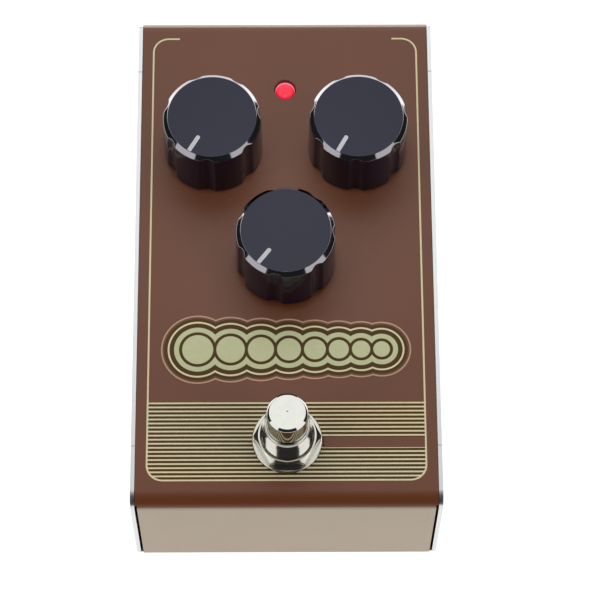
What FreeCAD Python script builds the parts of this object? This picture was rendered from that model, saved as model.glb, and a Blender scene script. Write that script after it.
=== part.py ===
import FreeCAD, Part
import math
import os
from types import SimpleNamespace

import Sketcher
from FreeCAD import Placement, Rotation, Vector

# A stomp-box delay pedal in millimetres. Its frame stands on the middle of the rubber mat's
# underside: X to the player's right, Y to the rear with the jacks, Z up.

doc = FreeCAD.newDocument("delay_pedal")
sheet = doc.addObject("Spreadsheet::Sheet", "sizes")

DRIVING_SIZES = {
    # two folded shells and the mat
    "body_width": 74.0,
    "body_depth": 129.8,
    "body_height": 36.8,
    "bend_radius": 3.7,
    "cover_sheet": 1.2,
    "tray_sheet": 1.0,
    "tray_bend_radius": 1.6,
    "side_gap": 0.1,
    "front_wall_relief": 0.5,
    "front_wall_relief_drop": 1.8,
    "floor_gap": 0.15,
    "mat_thickness": 2.0,
    "mat_width": 64.0,
    "mat_length": 120.0,
    "mat_corner": 6.0,
    "mat_edge": 0.5,
    # side screws and the brackets that take them
    "screw_y": 50.0,
    "screw_depth": 5.8,
    "screw_radius": 1.5,
    "screw_length": 6.0,
    "screw_head_radius": 2.45,
    "screw_clearance": 0.15,
    "screw_sink": 0.9,
    "screw_recess": 2.7,
    "screw_recess_width": 0.55,
    "screw_recess_depth": 0.8,
    "bracket_width": 10.0,
    "bracket_leg": 8.0,
    "bracket_drop": 9.0,
    "bracket_sheet": 1.2,
    "nick_width": 0.35,
    "nick_depth": 0.3,
    # places of the controls on the top
    "outer_knob_x": 17.85,
    "outer_knob_y": 28.65,
    "middle_knob_y": -1.7,
    "lamp_y": 44.9,
    "switch_x": 0.2,
    "switch_y": -48.7,
    # knobs
    "knob_gap": 0.6,
    "knob_top": 17.3,
    "knob_skirt_radius": 12.15,
    "knob_rim_radius": 11.95,
    "knob_disc_radius": 10.75,
    "knob_bevel": 1.1,
    "flute_count": 7,
    "flute_radius": 3.0,
    "flute_distance": 14.35,
    "knob_cavity_radius": 9.5,
    "knob_cavity_top": 14.8,
    "knob_hub_radius": 4.8,
    "knob_hub_bottom": 4.6,
    "knob_rib": 1.2,
    "knob_bore_top": 12.7,
    "pointer_width": 1.05,
    "pointer_start": 6.5,
    "pointer_depth": 0.3,
    "mix_angle": 239.0,
    "repeats_angle": 241.0,
    "time_angle": 232.0,
    # potentiometers
    "shaft_radius": 3.0,
    "shaft_flat": 1.5,
    "shaft_clearance": 0.05,
    "bush_radius": 3.5,
    "bush_top": 3.8,
    "panel_hole_radius": 3.65,
    "pot_width": 9.8,
    "pot_length": 11.4,
    "pot_height": 6.4,
    "pot_gap": 0.6,
    "pot_edge": 0.8,
    "pot_bush_edge": 0.4,
    "pot_floor": 1.5,
    "pot_pin_pitch": 2.5,
    "pot_pin_reach": 1.6,
    "pot_nut_flats": 10.0,
    "pot_nut_height": 2.0,
    "pot_washer_radius": 5.6,
    "pot_washer_thick": 0.4,
    # footswitch, heights counted from the top's surface
    "switch_washer_radius": 8.4,
    "switch_washer_thick": 0.8,
    "switch_nut_flats": 14.0,
    "switch_nut_height": 3.1,
    "switch_nut_sink": 0.42,
    "switch_bush_radius": 6.0,
    "switch_thread_top": 8.9,
    "switch_shoulder_top": 9.7,
    "switch_neck_radius": 5.3,
    "switch_neck_top": 11.0,
    "switch_bore_clearance": 0.08,
    "switch_hole_radius": 6.2,
    "button_radius": 4.85,
    "button_top": 19.2,
    "button_chamfer": 0.55,
    "button_base": 6.2,
    "stem_radius": 2.5,
    "stem_end": 9.2,
    "bush_floor_top": 2.8,
    "bush_foot": 5.2,
    "bush_foot_radius": 7.0,
    "bush_foot_thick": 1.0,
    "lock_nut_height": 2.1,
    "switch_frame_sheet": 0.6,
    "switch_case_width": 17.2,
    "switch_case_height": 14.0,
    "switch_cavity_radius": 5.0,
    "switch_cavity_depth": 7.2,
    "clip_radius": 3.8,
    "spring_wire": 0.4,
    "spring_radius": 3.7,
    "spring_turns": 4.0,
    "lug_pitch": 5.3,
    "lug_width": 2.2,
    "lug_thick": 0.6,
    "lug_length": 5.0,
    # indicator lamp
    "lamp_radius": 2.45,
    "lamp_hole_radius": 2.72,
    "lamp_flange_radius": 2.9,
    "lamp_flange": 1.0,
    "lamp_dome_edge": 0.85,
    "lamp_dome_top": 0.05,
    "lead_width": 0.5,
    "lead_pitch": 2.54,
    # jacks and power inlet, in the rear wall
    "jack_x": 20.0,
    "jack_nose_radius": 4.7,
    "jack_hole_radius": 4.85,
    "jack_bore_radius": 3.25,
    "jack_bore_length": 32.0,
    "jack_width": 15.4,
    "jack_height": 12.6,
    "jack_length": 30.0,
    "jack_nut_flats": 12.0,
    "jack_nut_height": 1.8,
    "jack_washer_radius": 7.0,
    "jack_washer_thick": 0.4,
    "inlet_width": 10.8,
    "inlet_length": 14.0,
    "inlet_collar_radius": 5.2,
    "inlet_hole_radius": 5.35,
    "inlet_bore_radius": 2.85,
    "inlet_bore_length": 11.0,
    "inlet_pin_radius": 1.05,
    "inlet_pin_length": 9.0,
    "contact_width": 1.4,
    "contact_thick": 0.5,
    # circuit boards
    "board_thick": 1.6,
    "board_width": 66.0,
    "board_front": -30.0,
    "board_rear": 62.0,
    "board_corner": 1.5,
    "pin_slot_half": 0.5,
    "switch_board_thick": 1.2,
    "switch_board_width": 22.0,
    "switch_board_length": 27.0,
    "switch_board_gap": 2.4,
    "ribbon_width": 7.6,
    "ribbon_thick": 0.9,
    "can_radius": 3.1,
    "can_length": 11.0,
    "can_crimp": 0.3,
    "chip_length": 9.6,
    "chip_width": 6.4,
    "chip_height": 3.3,
    "chip_lift": 0.5,
    "chip_notch_radius": 0.8,
    "chip_pin_pitch": 2.54,
    "chip_pin_half": 0.25,
    "film_length": 7.2,
    "film_width": 3.0,
    "film_height": 6.5,
    "regulator_radius": 2.3,
    "regulator_height": 4.6,
    "regulator_lift": 1.9,
    "resistor_length": 3.2,
    "resistor_width": 1.6,
    "resistor_height": 0.6,
    "header_depth": 2.6,
    "header_height": 4.0,
}

for row, (alias, number) in enumerate(DRIVING_SIZES.items(), start=1):
    sheet.set("A%d" % row, alias)
    sheet.set("B%d" % row, str(number))
    sheet.setAlias("B%d" % row, alias)
doc.recompute()


class Size:
    """A size that carries its formula in the sheet's cells along with its value."""

    def __init__(self, value, formula):
        self.value = float(value)
        self.formula = formula

    def __add__(self, other):
        other = as_size(other)
        return Size(self.value + other.value, "(%s + %s)" % (self.formula, other.formula))

    def __sub__(self, other):
        other = as_size(other)
        return Size(self.value - other.value, "(%s - %s)" % (self.formula, other.formula))

    def __mul__(self, other):
        other = as_size(other)
        return Size(self.value * other.value, "(%s * %s)" % (self.formula, other.formula))

    def __truediv__(self, other):
        other = as_size(other)
        return Size(self.value / other.value, "(%s / %s)" % (self.formula, other.formula))

    def __neg__(self):
        return as_size(0) - self

    def __radd__(self, other):
        return as_size(other) + self

    def __rsub__(self, other):
        return as_size(other) - self

    def __rmul__(self, other):
        return as_size(other) * self


def as_size(number):
    if isinstance(number, Size):
        return number
    return Size(number, repr(float(number)))


cell = SimpleNamespace(**{name: Size(sheet.get(name), "sizes." + name) for name in DRIVING_SIZES})

# heights and half widths that several pieces share
half_width = cell.body_width / 2
half_depth = cell.body_depth / 2
inner_half = half_width - cell.tray_sheet
cover_half = inner_half - cell.side_gap
floor_low = cell.mat_thickness
floor_high = floor_low + cell.tray_sheet
top_high = floor_low + cell.body_height
top_low = top_high - cell.cover_sheet
wall_inside = half_depth - cell.cover_sheet
pot_low = top_low - cell.pot_height - cell.pot_gap
board_high = pot_low
board_low = board_high - cell.board_thick
jack_axis = board_low - cell.jack_height / 2

KNOBS = {
    "mix": (-cell.outer_knob_x, cell.outer_knob_y, cell.mix_angle),
    "repeats": (cell.outer_knob_x, cell.outer_knob_y, cell.repeats_angle),
    "time": (as_size(0), cell.middle_knob_y, cell.time_angle),
}
JACKS = {"output": -cell.jack_x, "input": cell.jack_x}
JACK_PINS = ((6, -4.5), (15, 4.5), (24, 0))

parts = []


def sub_part(thing, label):
    """Name an object as a piece of the pedal, which gives its file its name."""
    thing.Label = label
    parts.append(thing)
    return thing


def bind(thing, prop, size):
    thing.setExpression(prop, as_size(size).formula)


def place(thing, x=0, y=0, z=0, turn=None):
    for axis, size in zip("xyz", (x, y, z)):
        bind(thing, "Placement.Base." + axis, size)
    if turn is not None:
        bind(thing, "Placement.Rotation.Angle", turn)


def new_body(name):
    return doc.addObject("PartDesign::Body", name)


def new_sketch(body, plane, offset=0):
    """A sketch on one of the body's own planes, moved along the plane's normal."""
    sketch = body.newObject("Sketcher::SketchObject", "sketch")
    base = [feature for feature in body.Origin.OriginFeatures if feature.Role == plane][0]
    sketch.AttachmentSupport = [(base, "")]
    sketch.MapMode = "FlatFace"
    bind(sketch, "AttachmentOffset.Base.z", offset)
    return sketch


def pin_point(sketch, geometry, point, x, y):
    """Tie one point of the sketch's geometry to its place from the sketch's origin."""
    for kind, size, axis in (("DistanceX", as_size(x), -2), ("DistanceY", as_size(y), -1)):
        if size.value == 0:
            sketch.addConstraint(Sketcher.Constraint("PointOnObject", geometry, point, axis))
        else:
            index = sketch.addConstraint(Sketcher.Constraint(kind, -1, 1, geometry, point, size.value))
            bind(sketch, "Constraints[%d]" % index, size)


def flat(x, y):
    return Vector(as_size(x).value, as_size(y).value, 0)


def draw_outline(sketch, points):
    """A closed outline of straight lines through the points."""
    first = sketch.GeometryCount
    ends = points[1:] + points[:1]
    for start, end in zip(points, ends):
        sketch.addGeometry(Part.LineSegment(flat(*start), flat(*end)))
    for number in range(len(points)):
        follower = first + (number + 1) % len(points)
        sketch.addConstraint(Sketcher.Constraint("Coincident", first + number, 2, follower, 1))
    for number, (x, y) in enumerate(points):
        pin_point(sketch, first + number, 1, x, y)


def draw_box(sketch, x_low, y_low, x_high, y_high):
    draw_outline(sketch, [(x_low, y_low), (x_high, y_low), (x_high, y_high), (x_low, y_high)])


def draw_circle(sketch, x, y, radius):
    circle = Part.Circle(flat(x, y), Vector(0, 0, 1), as_size(radius).value)
    index = sketch.addGeometry(circle)
    pin_point(sketch, index, 3, x, y)
    held = sketch.addConstraint(Sketcher.Constraint("Radius", index, as_size(radius).value))
    bind(sketch, "Constraints[%d]" % held, radius)


def draw_flatted_circle(sketch, radius, flat_x):
    """A circle about the origin with its -X side cut flat at flat_x."""
    low = math.acos(flat_x.value / radius.value)
    arc = Part.ArcOfCircle(Part.Circle(Vector(), Vector(0, 0, 1), radius.value), -low, low)
    index = sketch.addGeometry(arc)
    pin_point(sketch, index, 3, 0, 0)
    held = sketch.addConstraint(Sketcher.Constraint("Radius", index, radius.value))
    bind(sketch, "Constraints[%d]" % held, radius)
    height = radius.value * math.sin(low)
    line = sketch.addGeometry(Part.LineSegment(flat(flat_x, height), flat(flat_x, -height)))
    sketch.addConstraint(Sketcher.Constraint("Coincident", index, 2, line, 1))
    sketch.addConstraint(Sketcher.Constraint("Coincident", line, 2, index, 1))
    sketch.addConstraint(Sketcher.Constraint("Vertical", line))
    held = sketch.addConstraint(Sketcher.Constraint("DistanceX", -1, 1, line, 1, flat_x.value))
    bind(sketch, "Constraints[%d]" % held, flat_x)


def pad(body, sketch, length, side="One side", back=False):
    feature = body.newObject("PartDesign::Pad", "pad")
    feature.Profile = sketch
    feature.SideType = side
    feature.Reversed = back
    bind(feature, "Length", length)
    doc.recompute()
    return feature


def pocket(body, sketch, depth=None, side="One side", back=False):
    """Cut the sketch out of the body, and stop if nothing was cut."""
    before = body.Shape.Volume
    feature = body.newObject("PartDesign::Pocket", "pocket")
    feature.Profile = sketch
    feature.SideType = side
    feature.Reversed = back
    if depth is None:
        feature.Type = "ThroughAll"
    else:
        bind(feature, "Length", depth)
    doc.recompute()
    if body.Shape.Volume > before - 1e-6:
        raise RuntimeError("nothing was cut from " + body.Name)
    return feature


def revolve(body, sketch, kind="Revolution"):
    """Turn a sketch of the XZ plane about the body's Z axis."""
    feature = body.newObject("PartDesign::" + kind, kind.lower())
    feature.Profile = sketch
    feature.ReferenceAxis = (sketch, ["V_Axis"])
    feature.Angle = 360.0
    doc.recompute()
    return feature


def repeat_around(body, feature, count):
    pattern = body.newObject("PartDesign::PolarPattern", "pattern")
    pattern.Originals = [feature]
    axis = [item for item in body.Origin.OriginFeatures if item.Role == "Z_Axis"][0]
    pattern.Axis = (axis, [""])
    pattern.Angle = 360.0
    bind(pattern, "Occurrences", count)
    body.Tip = pattern
    doc.recompute()
    return pattern


def edges_where(shape, test):
    return ["Edge%d" % number for number, edge in enumerate(shape.Edges, start=1) if test(edge)]


def round_edges(body, radius, test, kind="Fillet"):
    """Fillet or chamfer the edges of the body's last feature that pass the test."""
    base = body.Tip
    feature = body.newObject("PartDesign::" + kind, kind.lower())
    feature.Base = (base, edges_where(base.Shape, test))
    bind(feature, "Radius" if kind == "Fillet" else "Size", radius)
    doc.recompute()
    return feature


def near(number, size):
    return abs(number - as_size(size).value) < 1e-4


def along(edge, axis):
    """True for a straight edge that runs along one axis."""
    box = edge.BoundBox
    lengths = {"X": box.XLength, "Y": box.YLength, "Z": box.ZLength}
    other = sum(length for name, length in lengths.items() if name != axis)
    return other < 1e-5 and lengths[axis] > 1e-5


def block(name, low, high):
    """A Part box between two corners."""
    box = doc.addObject("Part::Box", name)
    for prop, start, end in zip(("Length", "Width", "Height"), low, high):
        bind(box, prop, as_size(end) - start)
    place(box, *low)
    return box


def rod(name, radius, low, height, axis="Z"):
    """A Part cylinder that starts at low and runs along +Z or +Y."""
    cylinder = doc.addObject("Part::Cylinder", name)
    bind(cylinder, "Radius", radius)
    bind(cylinder, "Height", height)
    if axis == "Y":
        cylinder.Placement = Placement(Vector(), Rotation(Vector(1, 0, 0), -90))
    place(cylinder, *low)
    return cylinder


def fuse(name, *things):
    joined = doc.addObject("Part::MultiFuse", name)
    joined.Shapes = list(things)
    return joined


def cut(name, base, *tools):
    result = doc.addObject("Part::Cut", name)
    result.Base = base
    result.Tool = tools[0] if len(tools) == 1 else fuse(name + "_tools", *tools)
    return result


def group(label, things):
    """Separate solids that share one node."""
    gathered = doc.addObject("Part::Compound", label)
    gathered.Links = list(things)
    return sub_part(gathered, label)


def copies(template, places):
    """Copies of one modelled piece at (x, y, z) places or at full placements."""
    linked = []
    for spot in places:
        copy = doc.addObject("App::Link", template.Name + "_copy")
        copy.LinkedObject = template
        if isinstance(spot, Placement):
            copy.Placement = spot
        else:
            place(copy, *spot)
        linked.append(copy)
    return linked


# the turned face of a nut reaches almost to its flats
NUT_FACE_SHARE = 0.49


def hexagon_points(flats):
    corner = flats / math.sqrt(3)
    edge = flats / 2
    return [(corner, 0), (corner / 2, edge), (-corner / 2, edge),
            (-corner, 0), (-corner / 2, -edge), (corner / 2, -edge)]


def make_nut(name, flats, height, hole_radius, sink=0):
    """A hexagon nut on the XY plane, its outer corners turned off at 30 degrees, its bore countersunk."""
    nut = new_body(name)
    sketch = new_sketch(nut, "XY_Plane")
    draw_outline(sketch, hexagon_points(flats))
    draw_circle(sketch, 0, 0, hole_radius)
    pad(nut, sketch, height)
    face = flats * NUT_FACE_SHARE
    out = flats / math.sqrt(3) + 1
    out_drop = (out - face) * math.tan(math.radians(30))
    turned = new_sketch(nut, "XZ_Plane")
    draw_outline(turned, [(face, height), (out, height - out_drop), (out, height + 1), (face, height + 1)])
    revolve(nut, turned, "Groove")
    if sink:
        sunk = new_sketch(nut, "XZ_Plane")
        draw_outline(sunk, [(hole_radius - 1, height - sink - 1), (hole_radius + sink + 1, height + 1),
                            (hole_radius - 1, height + 1)])
        revolve(nut, sunk, "Groove")
    return nut


def make_washer(name, outer, inner, thick):
    washer = new_body(name)
    sketch = new_sketch(washer, "XY_Plane")
    draw_circle(sketch, 0, 0, outer)
    draw_circle(sketch, 0, 0, inner)
    pad(washer, sketch, thick)
    return washer


def turned_piece(name, points):
    """A body turned from a closed (radius, height) outline."""
    body = new_body(name)
    sketch = new_sketch(body, "XZ_Plane")
    draw_outline(sketch, points)
    revolve(body, sketch)
    return body


# The two shells

def make_top_cover():
    """One folded sheet: rear wall, top with the control holes, and front wall."""
    body = new_body("top_cover")
    side_view = new_sketch(body, "YZ_Plane")
    draw_outline(side_view, [
        (-half_depth, floor_low), (-half_depth, top_high), (half_depth, top_high), (half_depth, floor_low),
        (wall_inside, floor_low), (wall_inside, top_low), (-wall_inside, top_low), (-wall_inside, floor_low),
    ])
    pad(body, side_view, cover_half * 2, side="Symmetric")
    round_edges(body, cell.bend_radius, lambda edge: along(edge, "X")
                and near(abs(edge.CenterOfMass.y), half_depth) and near(edge.CenterOfMass.z, top_high))
    round_edges(body, cell.bend_radius - cell.cover_sheet, lambda edge: along(edge, "X")
                and near(abs(edge.CenterOfMass.y), wall_inside) and near(edge.CenterOfMass.z, top_low))

    controls = new_sketch(body, "XY_Plane", top_high)
    for x, y, angle in KNOBS.values():
        draw_circle(controls, x, y, cell.panel_hole_radius)
    draw_circle(controls, 0, cell.lamp_y, cell.lamp_hole_radius)
    draw_circle(controls, cell.switch_x, cell.switch_y, cell.switch_hole_radius)
    pocket(body, controls, cell.cover_sheet * 2)

    sockets = new_sketch(body, "XZ_Plane", -half_depth)
    for x in JACKS.values():
        draw_circle(sockets, x, jack_axis, cell.jack_hole_radius)
    draw_circle(sockets, 0, jack_axis, cell.inlet_hole_radius)
    pocket(body, sockets, cell.cover_sheet * 2, back=True)

    # the front wall is narrower than the top, so that it drops between the side walls
    trims = new_sketch(body, "XZ_Plane", half_depth)
    for side in (-1, 1):
        draw_box(trims, side * (cover_half - cell.front_wall_relief), floor_low - 1,
                 side * (half_width + 1), top_high - cell.front_wall_relief_drop)
    pocket(body, trims, cell.cover_sheet * 2)
    return sub_part(body, "top_cover")


def make_bottom_tray():
    """The second folded sheet: floor and two side walls whose upper corners follow the cover."""
    body = new_body("bottom_tray")
    front_view = new_sketch(body, "XZ_Plane")
    draw_outline(front_view, [
        (-half_width, floor_low), (half_width, floor_low), (half_width, top_high), (inner_half, top_high),
        (inner_half, floor_high), (-inner_half, floor_high), (-inner_half, top_high), (-half_width, top_high),
    ])
    pad(body, front_view, half_depth * 2, side="Symmetric")
    round_edges(body, cell.tray_bend_radius, lambda edge: along(edge, "Y")
                and near(abs(edge.CenterOfMass.x), half_width) and near(edge.CenterOfMass.z, floor_low))
    round_edges(body, cell.tray_bend_radius - cell.tray_sheet, lambda edge: along(edge, "Y")
                and near(abs(edge.CenterOfMass.x), inner_half) and near(edge.CenterOfMass.z, floor_high))
    round_edges(body, cell.bend_radius, lambda edge: along(edge, "X")
                and near(abs(edge.CenterOfMass.y), half_depth) and near(edge.CenterOfMass.z, top_high))

    # the floor ends where the cover's walls stand, with a notch at each corner
    ends = new_sketch(body, "XY_Plane", floor_low)
    floor_end = wall_inside - cell.floor_gap
    for side in (-1, 1):
        draw_box(ends, -inner_half, side * floor_end, inner_half, side * (half_depth + 1))
    pocket(body, ends, cell.tray_bend_radius, back=True)

    screw_holes = new_sketch(body, "YZ_Plane")
    for side in (-1, 1):
        hole_radius = cell.screw_radius + cell.screw_clearance
        draw_circle(screw_holes, side * cell.screw_y, top_high - cell.screw_depth, hole_radius)
    pocket(body, screw_holes, cell.body_width + 2, side="Symmetric")
    round_edges(body, cell.screw_sink, lambda edge: near(edge.BoundBox.XLength, 0)
                and near(abs(edge.CenterOfMass.x), half_width) and near(edge.BoundBox.YLength, hole_radius * 2),
                "Chamfer")

    nicks = new_sketch(body, "YZ_Plane")
    for side in (-1, 1):
        middle = side * cell.screw_y
        draw_box(nicks, middle - cell.nick_width / 2, top_high - cell.nick_depth,
                 middle + cell.nick_width / 2, top_high + 1)
    pocket(body, nicks, cell.body_width + 2, side="Symmetric")
    return sub_part(body, "bottom_tray")


def make_rubber_mat():
    body = new_body("rubber_mat")
    sketch = new_sketch(body, "XY_Plane")
    draw_box(sketch, -cell.mat_width / 2, -cell.mat_length / 2, cell.mat_width / 2, cell.mat_length / 2)
    pad(body, sketch, cell.mat_thickness)
    round_edges(body, cell.mat_corner, lambda edge: along(edge, "Z"))
    round_edges(body, cell.mat_edge, lambda edge: near(edge.BoundBox.ZMax, 0), "Chamfer")
    return sub_part(body, "rubber_mat")


def make_side_fixings():
    """Angle brackets under the cover's corners, and the sunk screws that come in from the sides."""
    bracket = new_body("bracket")
    profile = new_sketch(bracket, "XZ_Plane")
    outer = cover_half - 0.1
    inner = outer - cell.bracket_sheet
    draw_outline(profile, [
        (outer - cell.bracket_leg, top_low), (outer, top_low), (outer, top_low - cell.bracket_drop),
        (inner, top_low - cell.bracket_drop), (inner, top_low - cell.bracket_sheet),
        (outer - cell.bracket_leg, top_low - cell.bracket_sheet),
    ])
    pad(bracket, profile, cell.bracket_width, side="Symmetric")
    round_edges(bracket, cell.bracket_sheet / 2, lambda edge: along(edge, "Y")
                and near(edge.CenterOfMass.x, outer) and near(edge.CenterOfMass.z, top_low), "Chamfer")
    tapped = new_sketch(bracket, "YZ_Plane", inner - 1)
    draw_circle(tapped, 0, top_high - cell.screw_depth, cell.screw_radius + 0.02)
    pocket(bracket, tapped, cell.bracket_sheet + 2, back=True)

    screw = turned_piece("screw", [
        (0, -cell.screw_length), (cell.screw_radius, -cell.screw_length),
        (cell.screw_radius, cell.screw_radius - cell.screw_head_radius), (cell.screw_head_radius, 0), (0, 0),
    ])
    recess = new_sketch(screw, "XY_Plane")
    long, short = cell.screw_recess / 2, cell.screw_recess_width / 2
    draw_outline(recess, [(long, -short), (long, short), (short, short), (short, long), (-short, long),
                          (-short, short), (-long, short), (-long, -short), (-short, -short), (-short, -long),
                          (short, -long), (short, -short)])
    pocket(screw, recess, cell.screw_recess_depth)

    brackets = []
    screws = []
    height = (top_high - cell.screw_depth).value
    for side, angle in ((1, 0), (-1, 180)):
        for end in (-1, 1):
            y = end * cell.screw_y.value
            turn = Rotation(Vector(0, 0, 1), angle)
            brackets.append(Placement(Vector(0, y, 0), turn))
            aim = turn.multiply(Rotation(Vector(0, 1, 0), 90))
            screws.append(Placement(Vector(side * half_width.value, y, height), aim))
    group("corner_brackets", copies(bracket, brackets))
    group("side_screws", copies(screw, screws))


# Knobs and potentiometers

def make_knob(name, x, y, angle):
    """A moulded knob with seven flutes; its pointer looks along the body's +X."""
    body = turned_piece(name + "_knob", [
        (0, cell.knob_gap), (cell.knob_skirt_radius, cell.knob_gap),
        (cell.knob_rim_radius, cell.knob_top - cell.knob_bevel),
        (cell.knob_disc_radius, cell.knob_top), (0, cell.knob_top),
    ])
    flute = new_sketch(body, "XY_Plane")
    draw_circle(flute, -cell.flute_distance, 0, cell.flute_radius)
    first = pocket(body, flute, cell.knob_top + 1, back=True)
    repeat_around(body, first, cell.flute_count)

    hollow = new_sketch(body, "XZ_Plane")
    draw_outline(hollow, [
        (0, -1), (cell.knob_cavity_radius, -1), (cell.knob_cavity_radius, cell.knob_cavity_top),
        (cell.knob_hub_radius, cell.knob_cavity_top), (cell.knob_hub_radius, cell.knob_hub_bottom),
        (0, cell.knob_hub_bottom),
    ])
    revolve(body, hollow, "Groove")

    ribs = new_sketch(body, "XY_Plane", cell.knob_cavity_top)
    draw_box(ribs, cell.knob_hub_radius - 0.3, -cell.knob_rib / 2, cell.knob_cavity_radius + 0.3, cell.knob_rib / 2)
    rib = pad(body, ribs, cell.knob_cavity_top - cell.knob_hub_bottom - 1, back=True)
    repeat_around(body, rib, 3)

    bore = new_sketch(body, "XY_Plane", cell.knob_hub_bottom)
    draw_flatted_circle(bore, cell.shaft_radius + 0.02, -cell.shaft_flat - 0.02)
    pocket(body, bore, cell.knob_bore_top - cell.knob_hub_bottom, back=True)

    groove = new_sketch(body, "XY_Plane", cell.knob_top)
    draw_box(groove, cell.pointer_start, -cell.pointer_width / 2, cell.knob_disc_radius, cell.pointer_width / 2)
    pocket(body, groove, cell.pointer_depth)
    round_end = new_sketch(body, "XY_Plane", cell.knob_top)
    draw_circle(round_end, cell.pointer_start, 0, cell.pointer_width / 2)
    pocket(body, round_end, cell.pointer_depth)
    place(body, x, y, top_high, angle)
    return sub_part(body, name + "_knob")


def make_pointer(name, x, y, angle):
    """The pale line let into a knob's top, round at its inner end."""
    body = new_body(name + "_pointer")
    low = cell.knob_top - cell.pointer_depth
    line = new_sketch(body, "XY_Plane", low)
    draw_box(line, cell.pointer_start, -cell.pointer_width / 2, cell.knob_disc_radius - 0.03, cell.pointer_width / 2)
    pad(body, line, cell.pointer_depth)
    end = new_sketch(body, "XY_Plane", low)
    draw_circle(end, cell.pointer_start, 0, cell.pointer_width / 2)
    pad(body, end, cell.pointer_depth)
    place(body, x, y, top_high, angle)
    return sub_part(body, name + "_pointer")


def make_shaft(name, x, y, angle):
    """The turning shaft, D-shaped where the knob is pushed on."""
    body = new_body(name + "_shaft")
    low = pot_low - top_high + cell.pot_floor + 0.1
    round_part = new_sketch(body, "XY_Plane", low)
    draw_circle(round_part, 0, 0, cell.shaft_radius)
    pad(body, round_part, cell.knob_hub_bottom - low)
    flatted = new_sketch(body, "XY_Plane", cell.knob_hub_bottom)
    draw_flatted_circle(flatted, cell.shaft_radius, -cell.shaft_flat)
    pad(body, flatted, cell.knob_bore_top - cell.knob_hub_bottom)
    place(body, x, y, top_high, angle)
    return sub_part(body, name + "_shaft")


def make_pot(name, x, y):
    """Potentiometer case with its threaded bush and the slots for three pins."""
    body = new_body(name + "_pot")
    low = pot_low - top_high
    case = new_sketch(body, "XY_Plane", low)
    draw_box(case, -cell.pot_width / 2, -cell.pot_length / 2, cell.pot_width / 2, cell.pot_width / 2)
    pad(body, case, cell.pot_height)
    round_edges(body, cell.pot_edge, lambda edge: along(edge, "Z"), "Chamfer")
    bush = new_sketch(body, "XY_Plane", low + cell.pot_height)
    draw_circle(bush, 0, 0, cell.bush_radius)
    pad(body, bush, cell.bush_top - low - cell.pot_height)
    round_edges(body, cell.pot_bush_edge, lambda edge: near(edge.BoundBox.ZMin, cell.bush_top), "Chamfer")
    bore = new_sketch(body, "XY_Plane", cell.bush_top)
    draw_circle(bore, 0, 0, cell.shaft_radius + cell.shaft_clearance)
    pocket(body, bore, cell.bush_top - low - cell.pot_floor)
    place(body, x, y, top_high)
    return sub_part(body, name + "_pot")


def make_pot_fixings():
    nut = make_nut("pot_nut", cell.pot_nut_flats, cell.pot_nut_height, cell.bush_radius + 0.02)
    washer = make_washer("pot_washer", cell.pot_washer_radius, cell.bush_radius + 0.1, cell.pot_washer_thick)
    group("pot_nuts", copies(nut, [(x, y, top_high + cell.pot_washer_thick) for x, y, angle in KNOBS.values()]))
    group("pot_washers", copies(washer, [(x, y, top_high) for x, y, angle in KNOBS.values()]))


# Footswitch

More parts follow.
